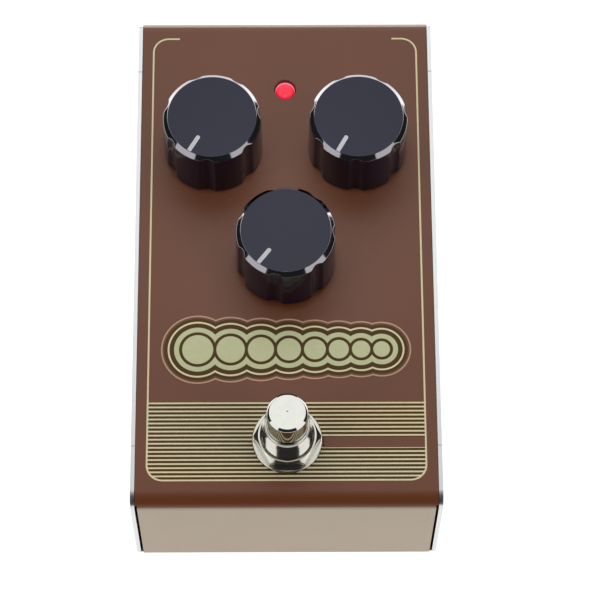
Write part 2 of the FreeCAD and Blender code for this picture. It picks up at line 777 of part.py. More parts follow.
def make_footswitch():
    bore_radius = cell.button_radius + cell.switch_bore_clearance
    stem_hole = cell.stem_radius + cell.switch_bore_clearance
    washer = make_washer("switch_washer", cell.switch_washer_radius, cell.switch_bush_radius + 0.1,
                         cell.switch_washer_thick)
    place(washer, cell.switch_x, cell.switch_y, top_high)
    sub_part(washer, "footswitch_washer")

    nut = make_nut("switch_nut", cell.switch_nut_flats, cell.switch_nut_height, cell.switch_bush_radius + 0.03,
                   cell.switch_nut_sink)
    place(nut, cell.switch_x, cell.switch_y, top_high + cell.switch_washer_thick)
    sub_part(nut, "footswitch_nut")

    lock_nut = make_nut("lock_nut", cell.switch_nut_flats, cell.lock_nut_height, cell.switch_bush_radius + 0.03)
    place(lock_nut, cell.switch_x, cell.switch_y, top_low - cell.lock_nut_height)
    sub_part(lock_nut, "footswitch_lock_nut")

    bushing = turned_piece("bushing", [
        (stem_hole, -cell.bush_foot), (cell.bush_foot_radius, -cell.bush_foot),
        (cell.bush_foot_radius, cell.bush_foot_thick - cell.bush_foot),
        (cell.switch_bush_radius, cell.bush_foot_thick - cell.bush_foot),
        (cell.switch_bush_radius, cell.switch_thread_top),
        (cell.switch_neck_radius, cell.switch_shoulder_top),
        (cell.switch_neck_radius, cell.switch_neck_top),
        (bore_radius, cell.switch_neck_top), (bore_radius, -cell.bush_floor_top), (stem_hole, -cell.bush_floor_top),
    ])
    place(bushing, cell.switch_x, cell.switch_y, top_high)
    sub_part(bushing, "footswitch_bushing")

    button = turned_piece("button", [
        (0, -cell.stem_end), (cell.stem_radius, -cell.stem_end), (cell.stem_radius, cell.button_base),
        (cell.button_radius, cell.button_base), (cell.button_radius, cell.button_top - cell.button_chamfer),
        (cell.button_radius - cell.button_chamfer, cell.button_top), (0, cell.button_top),
    ])
    ring_groove = new_sketch(button, "XZ_Plane")
    ring_low = -cell.bush_foot - cell.switch_frame_sheet
    draw_outline(ring_groove, [
        (cell.stem_radius - 0.5, ring_low), (cell.stem_radius + 1, ring_low),
        (cell.stem_radius + 1, -cell.bush_foot), (cell.stem_radius - 0.5, -cell.bush_foot),
    ])
    revolve(button, ring_groove, "Groove")
    place(button, cell.switch_x, cell.switch_y, top_high)
    sub_part(button, "footswitch_button")

    clip = new_body("clip")
    ring = new_sketch(clip, "XY_Plane", ring_low)
    draw_circle(ring, 0, 0, cell.clip_radius)
    draw_circle(ring, 0, 0, cell.stem_radius - 0.5)
    pad(clip, ring, cell.switch_frame_sheet)
    mouth = new_sketch(clip, "XY_Plane", -cell.bush_foot)
    draw_box(mouth, 0, -1.6, cell.clip_radius + 1, 1.6)
    pocket(clip, mouth, cell.switch_frame_sheet * 2)
    place(clip, cell.switch_x, cell.switch_y, top_high)
    sub_part(clip, "footswitch_clip")

    make_switch_frame(ring_low)
    make_switch_case(ring_low)
    make_lugs(ring_low)


def make_switch_frame(case_top):
    """Bent metal saddle that clamps the switch's case under the bushing."""
    body = new_body("switch_frame")
    half = cell.switch_case_width / 2
    outer = half + cell.switch_frame_sheet
    leg_low = case_top - cell.switch_case_height + 3
    profile = new_sketch(body, "XZ_Plane")
    draw_outline(profile, [
        (-outer, leg_low), (-half, leg_low), (-half, case_top), (half, case_top), (half, leg_low),
        (outer, leg_low), (outer, -cell.bush_foot), (-outer, -cell.bush_foot),
    ])
    pad(body, profile, cell.switch_case_width - 4, side="Symmetric")
    round_edges(body, cell.switch_frame_sheet, lambda edge: along(edge, "Y")
                and near(abs(edge.CenterOfMass.x), outer) and near(edge.CenterOfMass.z, -cell.bush_foot))
    hole = new_sketch(body, "XY_Plane", -cell.bush_foot)
    draw_circle(hole, 0, 0, cell.clip_radius + 0.5)
    pocket(body, hole, cell.switch_frame_sheet * 2)
    place(body, cell.switch_x, cell.switch_y, top_high)
    sub_part(body, "footswitch_frame")


def make_switch_case(case_top):
    body = new_body("switch_case")
    half = cell.switch_case_width / 2
    case = new_sketch(body, "XY_Plane", case_top)
    draw_box(case, -half, -half, half, half)
    pad(body, case, cell.switch_case_height, back=True)
    round_edges(body, 0.6, lambda edge: along(edge, "Z"), "Chamfer")
    cavity = new_sketch(body, "XY_Plane", case_top)
    draw_circle(cavity, 0, 0, cell.switch_cavity_radius)
    pocket(body, cavity, cell.switch_cavity_depth)
    place(body, cell.switch_x, cell.switch_y, top_high)
    sub_part(body, "footswitch_case")


def make_lugs(case_top):
    """Nine solder lugs in three rows of three."""
    low = case_top - cell.switch_case_height - cell.lug_length
    blades = []
    for column in (-1, 0, 1):
        for row in (-1, 0, 1):
            middle_x = cell.switch_x + column * cell.lug_pitch
            middle_y = cell.switch_y + row * cell.lug_pitch
            corner = (middle_x - cell.lug_width / 2, middle_y - cell.lug_thick / 2, top_high + low)
            far = (middle_x + cell.lug_width / 2, middle_y + cell.lug_thick / 2, top_high + low + cell.lug_length)
            blades.append(block("lug", corner, far))
    group("footswitch_lugs", blades)


def make_spring():
    """The return spring inside the bushing, one helix whose square wire stands for the round one."""
    wire = DRIVING_SIZES["spring_wire"]
    low = -DRIVING_SIZES["bush_floor_top"] + wire
    high = DRIVING_SIZES["button_base"] - wire
    pitch = (high - low) / DRIVING_SIZES["spring_turns"]
    path = Part.makeHelix(pitch, high - low, DRIVING_SIZES["spring_radius"])
    start = Vector(DRIVING_SIZES["spring_radius"], 0, 0)
    corners = [start + Vector(x * wire, 0, z * wire) for x, z in ((-1, -1), (1, -1), (1, 1), (-1, 1), (-1, -1))]
    coil = Part.Wire(path.Edges).makePipeShell([Part.makePolygon(corners)], True, True)
    spring = doc.addObject("Part::Feature", "spring")
    spring.Shape = coil
    spot = Vector(cell.switch_x.value, cell.switch_y.value, top_high.value + low)
    spring.Placement = Placement(spot, Rotation())
    sub_part(spring, "footswitch_spring")


# Indicator lamp

def make_lamp():
    """A lens on the board, its shallow dome just under the edge of the hole."""
    low = board_high - top_high
    rise = cell.lamp_dome_edge - cell.lamp_dome_top
    dome = [(cell.lamp_radius * math.cos(turn), rise * math.sin(turn) - cell.lamp_dome_edge)
            for turn in (math.radians(degrees) for degrees in (0, 20, 40, 60, 76))]
    lens = turned_piece("lens", [
        (0, low), (cell.lamp_flange_radius, low), (cell.lamp_flange_radius, low + cell.lamp_flange),
        (cell.lamp_radius, low + cell.lamp_flange), *dome, (0, -cell.lamp_dome_top),
    ])
    place(lens, 0, cell.lamp_y, top_high)
    sub_part(lens, "indicator_lens")
    leads = []
    for side in (-0.5, 0.5):
        middle = side * cell.lead_pitch
        low = (middle - cell.lead_width / 2, cell.lamp_y - cell.lead_width / 2, board_low - 1.5)
        high = (middle + cell.lead_width / 2, cell.lamp_y + cell.lead_width / 2, board_high)
        leads.append(block("lead", low, high))
    group("indicator_leads", leads)


# Jacks and power inlet

def make_jack(name, x):
    """A 6.35 mm jack: moulded body with a threaded nose and one blind bore along Y."""
    body = new_body(name + "_jack")
    length = cell.jack_length
    nose = cell.cover_sheet + cell.jack_washer_thick + cell.jack_nut_height
    half_wide = cell.jack_width / 2
    half_high = cell.jack_height / 2
    front = new_sketch(body, "XZ_Plane", -wall_inside)
    draw_box(front, -half_wide, -half_high, half_wide, half_high)
    pad(body, front, length)
    round_edges(body, 1.0, lambda edge: along(edge, "Y") and edge.CenterOfMass.z < 0)
    ring = new_sketch(body, "XZ_Plane", -wall_inside)
    draw_circle(ring, 0, 0, cell.jack_nose_radius)
    pad(body, ring, nose, back=True)
    round_edges(body, 0.4, lambda edge: near(edge.BoundBox.YMin, wall_inside + nose), "Chamfer")
    bore = new_sketch(body, "XZ_Plane", -(wall_inside + nose))
    draw_circle(bore, 0, 0, cell.jack_bore_radius)
    pocket(body, bore, cell.jack_bore_length, back=True)
    place(body, x, 0, jack_axis)
    return sub_part(body, name + "_jack")


def make_jack_fixings():
    nut = make_nut("jack_nut", cell.jack_nut_flats, cell.jack_nut_height, cell.jack_nose_radius + 0.02)
    washer = make_washer("jack_washer", cell.jack_washer_radius, cell.jack_nose_radius + 0.1,
                         cell.jack_washer_thick)
    aim = Rotation(Vector(1, 0, 0), -90)
    for template, depth, label in ((washer, half_depth, "jack_washers"),
                                   (nut, half_depth + cell.jack_washer_thick, "jack_nuts")):
        spots = [Placement(Vector(x.value, depth.value, jack_axis.value), aim) for x in JACKS.values()]
        group(label, copies(template, spots))

    pins = []
    for x in JACKS.values():
        for back, shift in JACK_PINS:
            y = wall_inside - back
            low = (x + shift - cell.contact_width / 2, y - cell.contact_thick / 2, board_low)
            high = (x + shift + cell.contact_width / 2, y + cell.contact_thick / 2, board_high + 1)
            pins.append(block("contact", low, high))
    group("jack_pins", pins)


def make_power_inlet():
    """Barrel socket on the board's underside, its collar filling the hole of the rear wall."""
    body = new_body("power_inlet")
    half_wide = cell.inlet_width / 2
    half_high = cell.jack_height / 2
    front = new_sketch(body, "XZ_Plane", -wall_inside)
    draw_box(front, -half_wide, -half_high, half_wide, half_high)
    pad(body, front, cell.inlet_length)
    collar = new_sketch(body, "XZ_Plane", -wall_inside)
    draw_circle(collar, 0, 0, cell.inlet_collar_radius)
    pad(body, collar, cell.cover_sheet, back=True)
    bore = new_sketch(body, "XZ_Plane", -half_depth)
    draw_circle(bore, 0, 0, cell.inlet_bore_radius)
    pocket(body, bore, cell.inlet_bore_length, back=True)
    place(body, 0, 0, jack_axis)
    sub_part(body, "power_inlet")

    bottom = half_depth - cell.inlet_bore_length
    pin = rod("inlet_pin", cell.inlet_pin_radius, (0, bottom, jack_axis), cell.inlet_pin_length, "Y")
    sub_part(pin, "power_inlet_pin")


# Circuit boards and what they carry

def board_slot_places():
    """Where leads and pins pass through the main board, as (x, y, half width)."""
    places = []
    for x, y, angle in KNOBS.values():
        for step in (-1, 0, 1):
            places.append((x + step * cell.pot_pin_pitch, y - cell.pot_length / 2 - cell.pot_pin_reach,
                           cell.pin_slot_half))
    for side in (-0.5, 0.5):
        places.append((side * cell.lead_pitch, cell.lamp_y, cell.pin_slot_half))
    for x in JACKS.values():
        for back, shift in JACK_PINS:
            places.append((x + shift, wall_inside - back, cell.contact_width / 2 + 0.1))
    return places


def make_main_board():
    body = new_body("main_board")
    sketch = new_sketch(body, "XY_Plane", board_low)
    half = cell.board_width / 2
    draw_box(sketch, -half, cell.board_front, half, cell.board_rear)
    pad(body, sketch, cell.board_thick)
    round_edges(body, cell.board_corner, lambda edge: along(edge, "Z"))
    holes = new_sketch(body, "XY_Plane", board_high)
    for x, y, half_slot in board_slot_places():
        draw_box(holes, x - half_slot, y - cell.pin_slot_half, x + half_slot, y + cell.pin_slot_half)
    pocket(body, holes, cell.board_thick * 2)
    return sub_part(body, "main_board")


def make_pot_pins():
    """Three flat pins on each potentiometer, bent down through the board."""
    pin = new_body("pot_pin")
    side = new_sketch(pin, "YZ_Plane")
    start = -cell.pot_length / 2
    bend = start - cell.pot_pin_reach
    thick = cell.contact_thick
    draw_outline(side, [
        (start, pot_low + 1), (start, pot_low + 1 + thick), (bend - thick / 2, pot_low + 1 + thick),
        (bend - thick / 2, board_low - 1.2), (bend + thick / 2, board_low - 1.2), (bend + thick / 2, pot_low + 1),
    ])
    pad(pin, side, cell.pin_slot_half * 1.6, side="Symmetric")
    spots = []
    for x, y, angle in KNOBS.values():
        for step in (-1, 0, 1):
            spots.append((x + step * cell.pot_pin_pitch, y, 0))
    group("pot_pins", copies(pin, spots))


def make_delay_chips():
    """Dual in-line chips under the board, notched at one end, on bent legs."""
    chip = new_body("chip")
    half_long = cell.chip_length / 2
    half_wide = cell.chip_width / 2
    low = board_low - cell.chip_lift - cell.chip_height
    package = new_sketch(chip, "XY_Plane", low)
    draw_box(package, -half_long, -half_wide, half_long, half_wide)
    pad(chip, package, cell.chip_height)
    notch = new_sketch(chip, "XY_Plane", low)
    draw_circle(notch, -half_long, 0, cell.chip_notch_radius)
    pocket(chip, notch, 0.5, back=True)
    middle = low + cell.chip_height / 2
    leg = new_sketch(chip, "XY_Plane", middle)
    for side in (-1, 1):
        for step in (-1.5, -0.5, 0.5, 1.5):
            x = cell.chip_pin_pitch * step
            draw_box(leg, x - cell.chip_pin_half, side * (half_wide - 0.1),
                     x + cell.chip_pin_half, side * (half_wide + cell.chip_pin_half * 2))
    pad(chip, leg, board_low - middle)
    group("delay_chips", copies(chip, [(-18, 10, 0), (18, 10, 0), (-18, -8, 0)]))


def make_capacitors():
    """Electrolytic cans with a groove crimped near the board, and boxed film capacitors."""
    length = cell.can_length
    radius = cell.can_radius
    can = turned_piece("can", [
        (0, board_low - length), (radius, board_low - length), (radius, board_low - 2.0),
        (radius - cell.can_crimp, board_low - 1.5), (radius, board_low - 1.0), (radius, board_low), (0, board_low),
    ])
    spots = [(-29, -24, 0), (29, -24, 0), (0, 16, 0), (0, 24, 0)]
    group("electrolytic_capacitors", copies(can, spots))

    film = new_body("film")
    box = new_sketch(film, "XY_Plane", board_low)
    draw_box(box, -cell.film_length / 2, -cell.film_width / 2, cell.film_length / 2, cell.film_width / 2)
    pad(film, box, cell.film_height, back=True)
    round_edges(film, 0.4, lambda edge: near(edge.BoundBox.ZMax, board_low - cell.film_height), "Chamfer")
    spots = [(8, -13, 0), (8, -18, 0), (18, -8, 0), (18, -13, 0), (-28, 22, 0)]
    group("film_capacitors", copies(film, spots))


def make_small_parts():
    """Voltage regulator and chip resistors."""
    x, y = -6, 5
    high = board_low - cell.regulator_lift
    case = rod("regulator_case", cell.regulator_radius, (x, y, high - cell.regulator_height), cell.regulator_height)
    flat_side = block("regulator_flat", (x - 3, y + cell.regulator_radius / 2, high - cell.regulator_height - 1),
                      (x + 3, y + 4, high + 1))
    shaped = cut("regulator_body", case, flat_side)
    legs = [block("regulator_leg", (x + step * cell.chip_pin_pitch / 2 - 0.2, y - 0.2, high),
                  (x + step * cell.chip_pin_pitch / 2 + 0.2, y + 0.2, board_low)) for step in (-1, 0, 1)]
    sub_part(fuse("voltage_regulator", shaped, *legs), "voltage_regulator")

    resistor = block("resistor", (0, 0, 0), (cell.resistor_length, cell.resistor_width, cell.resistor_height))
    spots = [(x, y, board_low - cell.resistor_height) for x in (-29, -10.5, 7.5, 26) for y in (0, 3)]
    group("chip_resistors", copies(resistor, spots))


def make_switch_board():
    """The small board that is soldered to the footswitch's lugs."""
    body = new_body("switch_board")
    lug_top = top_high - cell.bush_foot - cell.switch_frame_sheet - cell.switch_case_height
    high = lug_top - cell.switch_board_gap
    low = high - cell.switch_board_thick
    half = cell.switch_board_width / 2
    front = cell.switch_y - cell.switch_board_width / 2
    sketch = new_sketch(body, "XY_Plane", low)
    draw_box(sketch, -half, front, half, front + cell.switch_board_length)
    pad(body, sketch, cell.switch_board_thick)
    slots = new_sketch(body, "XY_Plane", high)
    for column in (-1, 0, 1):
        for row in (-1, 0, 1):
            x = cell.switch_x + column * cell.lug_pitch
            y = cell.switch_y + row * cell.lug_pitch
            draw_box(slots, x - cell.lug_width / 2 - 0.1, y - cell.lug_thick / 2 - 0.1,
                     x + cell.lug_width / 2 + 0.1, y + cell.lug_thick / 2 + 0.1)
    pocket(body, slots, cell.switch_board_thick * 2)
    sub_part(body, "switch_board")
    return high, front + cell.switch_board_length


def make_ribbon(board_top, board_end):
    """Headers on both boards, and the flat ribbon that climbs from one to the other."""
    half = cell.ribbon_width / 2 + 0.6
    lower_y = board_end - cell.header_depth - 0.5
    upper_y = cell.board_front + 0.8
    header_top = board_top + cell.header_height
    header_low = board_low - cell.header_height
    lower = block("lower_header", (-half, lower_y, board_top), (half, lower_y + cell.header_depth, header_top))
    upper = block("upper_header", (-half, upper_y, header_low), (half, upper_y + cell.header_depth, board_low))
    group("ribbon_headers", [lower, upper])

    # the ribbon leaves upwards from the lower header and meets the upper one from below
    body = new_body("ribbon")
    side = new_sketch(body, "YZ_Plane")
    thick = cell.ribbon_thick
    start_y = lower_y + cell.header_depth / 2 - thick / 2
    end_y = upper_y + cell.header_depth / 2 - thick / 2
    middle = (header_top + header_low) / 2
    draw_outline(side, [
        (start_y, header_top), (start_y + thick, header_top), (start_y + thick, middle - thick / 2),
        (end_y + thick, middle - thick / 2), (end_y + thick, header_low), (end_y, header_low),
        (end_y, middle + thick / 2), (start_y, middle + thick / 2),
    ])
    pad(body, side, cell.ribbon_width, side="Symmetric")
    sub_part(body, "ribbon_cable")


make_top_cover()
make_bottom_tray()
make_rubber_mat()
make_side_fixings()
for knob_name, (knob_x, knob_y, knob_angle) in KNOBS.items():
    make_knob(knob_name, knob_x, knob_y, knob_angle)
    make_pointer(knob_name, knob_x, knob_y, knob_angle)
    make_shaft(knob_name, knob_x, knob_y, knob_angle)
    make_pot(knob_name, knob_x, knob_y)
make_pot_fixings()
make_pot_pins()
make_footswitch()
make_spring()
make_lamp()
for jack_name, jack_place in JACKS.items():
    make_jack(jack_name, jack_place)
make_jack_fixings()
make_power_inlet()
make_main_board()
make_delay_chips()
make_capacitors()
make_small_parts()
switch_board_top, switch_board_end = make_switch_board()
make_ribbon(switch_board_top, switch_board_end)
doc.recompute()

for thing in doc.Objects:
    if "Invalid" in thing.State or "Error" in thing.State:
        raise RuntimeError("%s failed: %s" % (thing.Label, thing.State))
for thing in parts:
    if thing.Shape.isNull() or not thing.Shape.isValid():
        raise RuntimeError(thing.Label + " has no valid shape")

os.makedirs("parts", exist_ok=True)
for thing in parts:
    thing.Shape.exportStep("parts/%s.step" % thing.Label)
print("%d pieces written" % len(parts))
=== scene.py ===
# %% [markdown]
# A compact delay pedal, dressed for a studio picture. The solids that carry every size come from
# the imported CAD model, and each shell, knob, nut and lamp that shows is modelled again here at the
# same place with the small radii and smooth curves that a coarse solid lacks.

# %% The frame
import math

import bmesh
import bpy
from mathutils import Matrix, Vector


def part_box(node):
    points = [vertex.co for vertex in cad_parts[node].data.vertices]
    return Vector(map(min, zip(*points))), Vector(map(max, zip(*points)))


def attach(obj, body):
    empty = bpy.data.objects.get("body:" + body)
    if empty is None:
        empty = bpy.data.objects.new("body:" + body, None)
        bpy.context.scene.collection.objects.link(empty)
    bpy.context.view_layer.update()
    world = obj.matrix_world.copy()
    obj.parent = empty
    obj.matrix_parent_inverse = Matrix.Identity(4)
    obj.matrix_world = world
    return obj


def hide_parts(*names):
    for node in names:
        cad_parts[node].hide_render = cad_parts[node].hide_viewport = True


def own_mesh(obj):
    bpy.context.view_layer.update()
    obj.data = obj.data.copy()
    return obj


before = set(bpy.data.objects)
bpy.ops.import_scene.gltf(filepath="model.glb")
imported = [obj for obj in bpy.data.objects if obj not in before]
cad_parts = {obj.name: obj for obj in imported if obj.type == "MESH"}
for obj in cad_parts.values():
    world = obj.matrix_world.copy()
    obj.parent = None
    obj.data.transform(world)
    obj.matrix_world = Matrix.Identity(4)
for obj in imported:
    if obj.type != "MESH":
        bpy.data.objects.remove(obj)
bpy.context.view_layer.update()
MM = 0.001


def middle(node):
    """The middle of a CAD node's box."""
    low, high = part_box(node)
    return (low + high) / 2



# %% [markdown]
# The picture was taken from high above the front, with a long lens. The camera stands at the
# measured place, and its three angles say how far it looks down, how far it is turned, and how far
# it leans.

# %% The camera
CAMERA_PLACE = Vector((-1.343, -264.939, 638.949)) * MM
LOOK_DOWN, TURN, LEAN = math.radians(67.089), math.radians(0.804), math.radians(0.568)
FOCAL_PIXELS, FRAME_LONG_SIDE, SENSOR = 2678.73, 591, 36.0

ahead = Vector((math.sin(TURN) * math.cos(LOOK_DOWN), math.cos(TURN) * math.cos(LOOK_DOWN),
                -math.sin(LOOK_DOWN)))
level_right = Vector((math.cos(TURN), -math.sin(TURN), 0))
level_up = level_right.cross(ahead)
camera_right = level_right * math.cos(LEAN) + level_up * math.sin(LEAN)
camera_up = level_up * math.cos(LEAN) - level_right * math.sin(LEAN)
lens = bpy.data.cameras.new("camera")
lens.sensor_width = SENSOR
lens.lens = FOCAL_PIXELS * SENSOR / FRAME_LONG_SIDE
lens.clip_start, lens.clip_end = 0.05, 50
camera = bpy.data.objects.new("camera", lens)
looking = Matrix((camera_right, camera_up, -ahead)).transposed().to_4x4()
camera.matrix_world = Matrix.Translation(CAMERA_PLACE) @ looking
bpy.context.scene.collection.objects.link(camera)
bpy.context.scene.camera = camera
bpy.context.scene.view_settings.view_transform = "Standard"
print("lens in mm:", round(lens.lens, 1))

# %% [markdown]
# Every finish is a small tree of shader nodes. Python's own arithmetic is easier to read than a
# list of Math nodes, so one class wraps a socket and builds the nodes when sockets are added or
# multiplied, and another adds any other node.

# %% Shader arithmetic
class Number:
    """The number that leaves one socket, ready for arithmetic."""

    def __init__(self, finish, socket):
        self.finish = finish
        self.socket = socket

    def math(self, operation, first, second=0.0):
        return self.finish.put("Math", {0: first, 1: second}, {"operation": operation})

    def __add__(self, other):
        return self.math("ADD", self, other)

    def __sub__(self, other):
        return self.math("SUBTRACT", self, other)

    def __rsub__(self, other):
        return self.math("SUBTRACT", other, self)

    def __mul__(self, other):
        return self.math("MULTIPLY", self, other)

    def over(self, limit):
        return self.math("GREATER_THAN", self, limit)

    def size(self):
        return self.math("ABSOLUTE", self)


class Finish:
    """One material and the nodes that make it."""

    def __init__(self, name):
        self.material = bpy.data.materials.new(name)
        self.material.use_nodes = True
        self.tree = self.material.node_tree
        self.tree.nodes.clear()

    def put(self, kind, sockets=None, settings=None, out=0):
        """Adds a node, its settings first, then the values or links of its sockets."""
        node = self.tree.nodes.new("ShaderNode" + kind)
        for name, value in (settings or {}).items():
            setattr(node, name, value)
        for name, value in (sockets or {}).items():
            if isinstance(value, Number):
                self.tree.links.new(value.socket, node.inputs[name])
            else:
                node.inputs[name].default_value = value
        return Number(self, node.outputs[out]) if node.outputs else None

    def place(self):
        """Where a point lies on the object, as X, Y and Z in metres."""
        spot = self.put("TexCoord", out="Object")
        parts = [self.put("SeparateXYZ", {0: spot}, out=axis) for axis in range(3)]
        return spot, parts

    def blend(self, share, low, high):
        """A colour between two colours."""
        return self.put("Mix", {0: share, 6: low, 7: high}, {"data_type": "RGBA"}, out=2)

    def facing(self):
        """How far the surface faces upward: 1 on a flat top, 0 on a wall."""
        normal = self.put("NewGeometry", out="Normal")
        return self.put("SeparateXYZ", {0: normal}, out=2)

    def step(self, number, low, high):
        """0 below low, 1 above high, and a smooth ramp between."""
        return self.put("MapRange", {"Value": number, "From Min": low, "From Max": high},
                        {"interpolation_type": "SMOOTHSTEP"})

    def outside(self, x, y, centre, low, high):
        """0 inside a circle of radius low about the centre, and 1 beyond the radius high."""
        across, along = x - centre[0], y - centre[1]
        return self.step(across * across + along * along, low ** 2, high ** 2)

    def wave(self, number, length, shape="SINE"):
        """A wave between -1 and 1 along one coordinate."""
        return self.put("Math", {0: number * (math.tau / length)}, {"operation": shape})

    def noise(self, spot, grain, detail=3.0, stretch=(1, 1, 1)):
        """Smooth noise with patches of about one grain, which is in metres."""
        if stretch != (1, 1, 1):
            spot = self.put("VectorMath", {0: spot, 1: stretch}, {"operation": "MULTIPLY"})
        return self.put("TexNoise", {"Vector": spot, "Scale": 1 / grain, "Detail": detail}, out="Fac")

    def bump(self, height, depth):
        """A normal from a height of 0 to 1 that stands for depth in metres."""
        return self.put("Bump", {"Height": height, "Distance": depth})

    def close(self, **sockets):
        """The surface shader, its sockets named with _ for a space."""
        named = {name.replace("_", " "): value for name, value in sockets.items()}
        surface = self.put("BsdfPrincipled", named)
        self.put("OutputMaterial", {"Surface": surface})
        return self.material


def rgb(red, green, blue):
    """A shader colour from the 0 to 255 values that a screen shows."""
    linear = [((c / 255 + 0.055) / 1.055) ** 2.4 if c > 10 else c / 255 / 12.92
              for c in (red, green, blue)]
    return (*linear, 1.0)


def tint(color, share):
    """A darker or a paler kind of a colour."""
    return (*(c * share for c in color[:3]), 1.0)


# %% [markdown]
# The case is a steel sheet with two paints. Beige covers the rear and front walls, and brown,
# sprayed over a mask, covers the top and runs round most of the front bend, where its edge is a
# little soft. Both dry with a faint orange peel. The wall of the lamp's hole is painted near
# black, a painted shade for the dark recess.

# %% Paint
cover_low, cover_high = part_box("top_cover")
BEND = 3.7 * MM
bend_middle = cover_high.z - BEND
BROWN, BEIGE = (0.149, 0.0416, 0.0116, 1), (0.374, 0.280, 0.180, 1)
HOLE_PAINTED_SHADE = (0.012, 0.002, 0.002, 1)
FRONT_WRAP, REAR_WRAP = math.radians(71), math.radians(27)
FRONT_BLUR, REAR_BLUR = 0.35 * MM, 0.10 * MM
front_edge = bend_middle + BEND * math.cos(FRONT_WRAP)
rear_edge = bend_middle + BEND * math.cos(REAR_WRAP)


def paint_finish():
    finish = Finish("two_tone_paint")
    spot, (x, y, z) = finish.place()
    to_rear = y.over(0.0)
    edge = to_rear * (rear_edge - front_edge) + front_edge
    blur = to_rear * (REAR_BLUR - FRONT_BLUR) + FRONT_BLUR
    brown = finish.step(z, edge - blur, edge + blur)
    clouds = finish.noise(spot, 28 * MM, 2.0)
    beige = finish.blend(clouds, tint(BEIGE, 0.97), tint(BEIGE, 1.03))
    top = finish.blend(clouds, tint(BROWN, 0.94), tint(BROWN, 1.06))
    # Inside the lamp's hole the wall gets a painted shade, near black, laid over both paints.
    outside_hole = finish.outside(x, y, middle("indicator_lens"), 2.73 * MM, 2.80 * MM)
    color = finish.blend(outside_hole, HOLE_PAINTED_SHADE, finish.blend(brown, beige, top))
    peel = finish.noise(spot, 0.9 * MM, 2.0)
    return finish.close(Base_Color=color, Roughness=finish.noise(spot, 6 * MM) * 0.06 + 0.33,
                        Normal=finish.bump(peel, 0.010 * MM))


paint = paint_finish()
print("brown stops at z in mm:", round(front_edge / MM, 2), round(rear_edge / MM, 2))

# %% [markdown]
# The other finishes. The knobs are one moulding with three looks: glossy sides, a satin top, and a
# bright turned ring between them. A mask reads which way the surface faces, so it stays right
# while the knob turns.

# %% Knobs, pointers, lamp
def knob_finish():
    finish = Finish("knob_plastic")
    spot, (x, y, z) = finish.place()
    upward = finish.facing()
    top = finish.step(upward, 0.95, 0.99)
    ring = finish.step(upward, 0.35, 0.5) * (1.0 - top)
    grain = finish.noise(spot, 0.16 * MM, 2.0)
    color = finish.blend(top, (0.002, 0.003, 0.016, 1), (0.001, 0.002, 0.022, 1))
    color = finish.blend(ring, color, (0.30, 0.29, 0.31, 1))
    rough = top * 0.20 - ring * 0.07 + 0.14 + finish.noise(spot, 4 * MM) * 0.03
    return finish.close(Base_Color=color, Metallic=ring, Roughness=rough, Specular_IOR_Level=0.43,
                        Normal=finish.bump(grain * top, 0.004 * MM))


def ink_finish(name, color, gloss=0.5):
    """Printed ink: a little uneven, as a screen leaves it, and glossier or duller than the paint."""
    finish = Finish(name)
    spot = finish.place()[0]
    uneven = finish.blend(finish.noise(spot, 1.4 * MM), tint(color, 0.86), color)
    return finish.close(Base_Color=uneven, Roughness=0.42, Specular_IOR_Level=gloss)


def lamp_finish():
    """A lit red lamp with a pale pink crescent along its rear rim, a painted highlight over its red glow."""
    finish = Finish("lamp_red")
    spot, (x, y, z) = finish.place()
    rim_red, top_red, highlight_pink = (0.20, 0.001, 0.004, 1), (0.56, 0.003, 0.018, 1), (0.85, 0.20, 0.26, 1)
    glow = finish.blend(finish.step(finish.facing(), 0.35, 1.0), rim_red, top_red)
    lens = middle("indicator_lens")
    # The crescent is a painted highlight, pale pink, on the rear rim of the dome.
    rim_highlight = finish.outside(x, y, (lens.x, lens.y - 0.7 * MM), 2.2 * MM, 2.6 * MM)
    return finish.close(Base_Color=(0.75, 0.012, 0.05, 1), Roughness=0.34,
                        Emission_Color=finish.blend(rim_highlight, glow, highlight_pink), Emission_Strength=1.0)


knob_plastic = knob_finish()
pointer_white = ink_finish("pointer_white", (0.56, 0.56, 0.60, 1))
ink_cream = ink_finish("ink_cream", rgb(236, 222, 180), gloss=0.4)
ink_green = ink_finish("ink_green", rgb(206, 208, 160))
ink_rose = ink_finish("ink_rose", rgb(196, 158, 128))
ink_shade = ink_finish("ink_shade", rgb(80, 57, 10), gloss=0.2)
lamp_red = lamp_finish()
print("knob, ink and lamp finishes made")

# %% [markdown]
# Metals differ in how they were worked. The button is chromed, so nearly a mirror, and its bushing
# and nut are duller and warmer. The other nuts and the screws are nickel, the tray is bare sheet
# whose brush lines run along it, and brackets and frames are dull zinc. Each has grain in its
# roughness, because no real metal is even all over.

# %% Metals
NICKEL = (0.70, 0.68, 0.64, 1)


def metal_finish(name, color, rough, grain=2.0, stretch=(1, 1, 1), scratch=0.0, spread=0.08):
    finish = Finish(name)
    spot = finish.place()[0]
    streaks = finish.noise(spot, grain * MM, 4.0, stretch)
    return finish.close(Base_Color=finish.blend(streaks, tint(color, 0.88), color), Metallic=1.0,
                        Roughness=streaks * spread + rough, Normal=finish.bump(streaks, scratch * MM))


chrome = metal_finish("chrome", (0.66, 0.67, 0.62, 1), 0.035, spread=0.03)
warm_chrome = metal_finish("warm_chrome", (0.62, 0.60, 0.54, 1), 0.11, spread=0.05)
nickel = metal_finish("nickel", NICKEL, 0.16)
zinc = metal_finish("zinc", (0.62, 0.63, 0.64, 1), 0.34, grain=4.0, spread=0.16)
tray_steel = metal_finish("tray_steel", (0.67, 0.69, 0.69, 1), 0.24, grain=0.5, stretch=(1, 0.03, 1),
                          scratch=0.004, spread=0.10)
tinned = metal_finish("tinned_brass", (0.72, 0.70, 0.66, 1), 0.28)


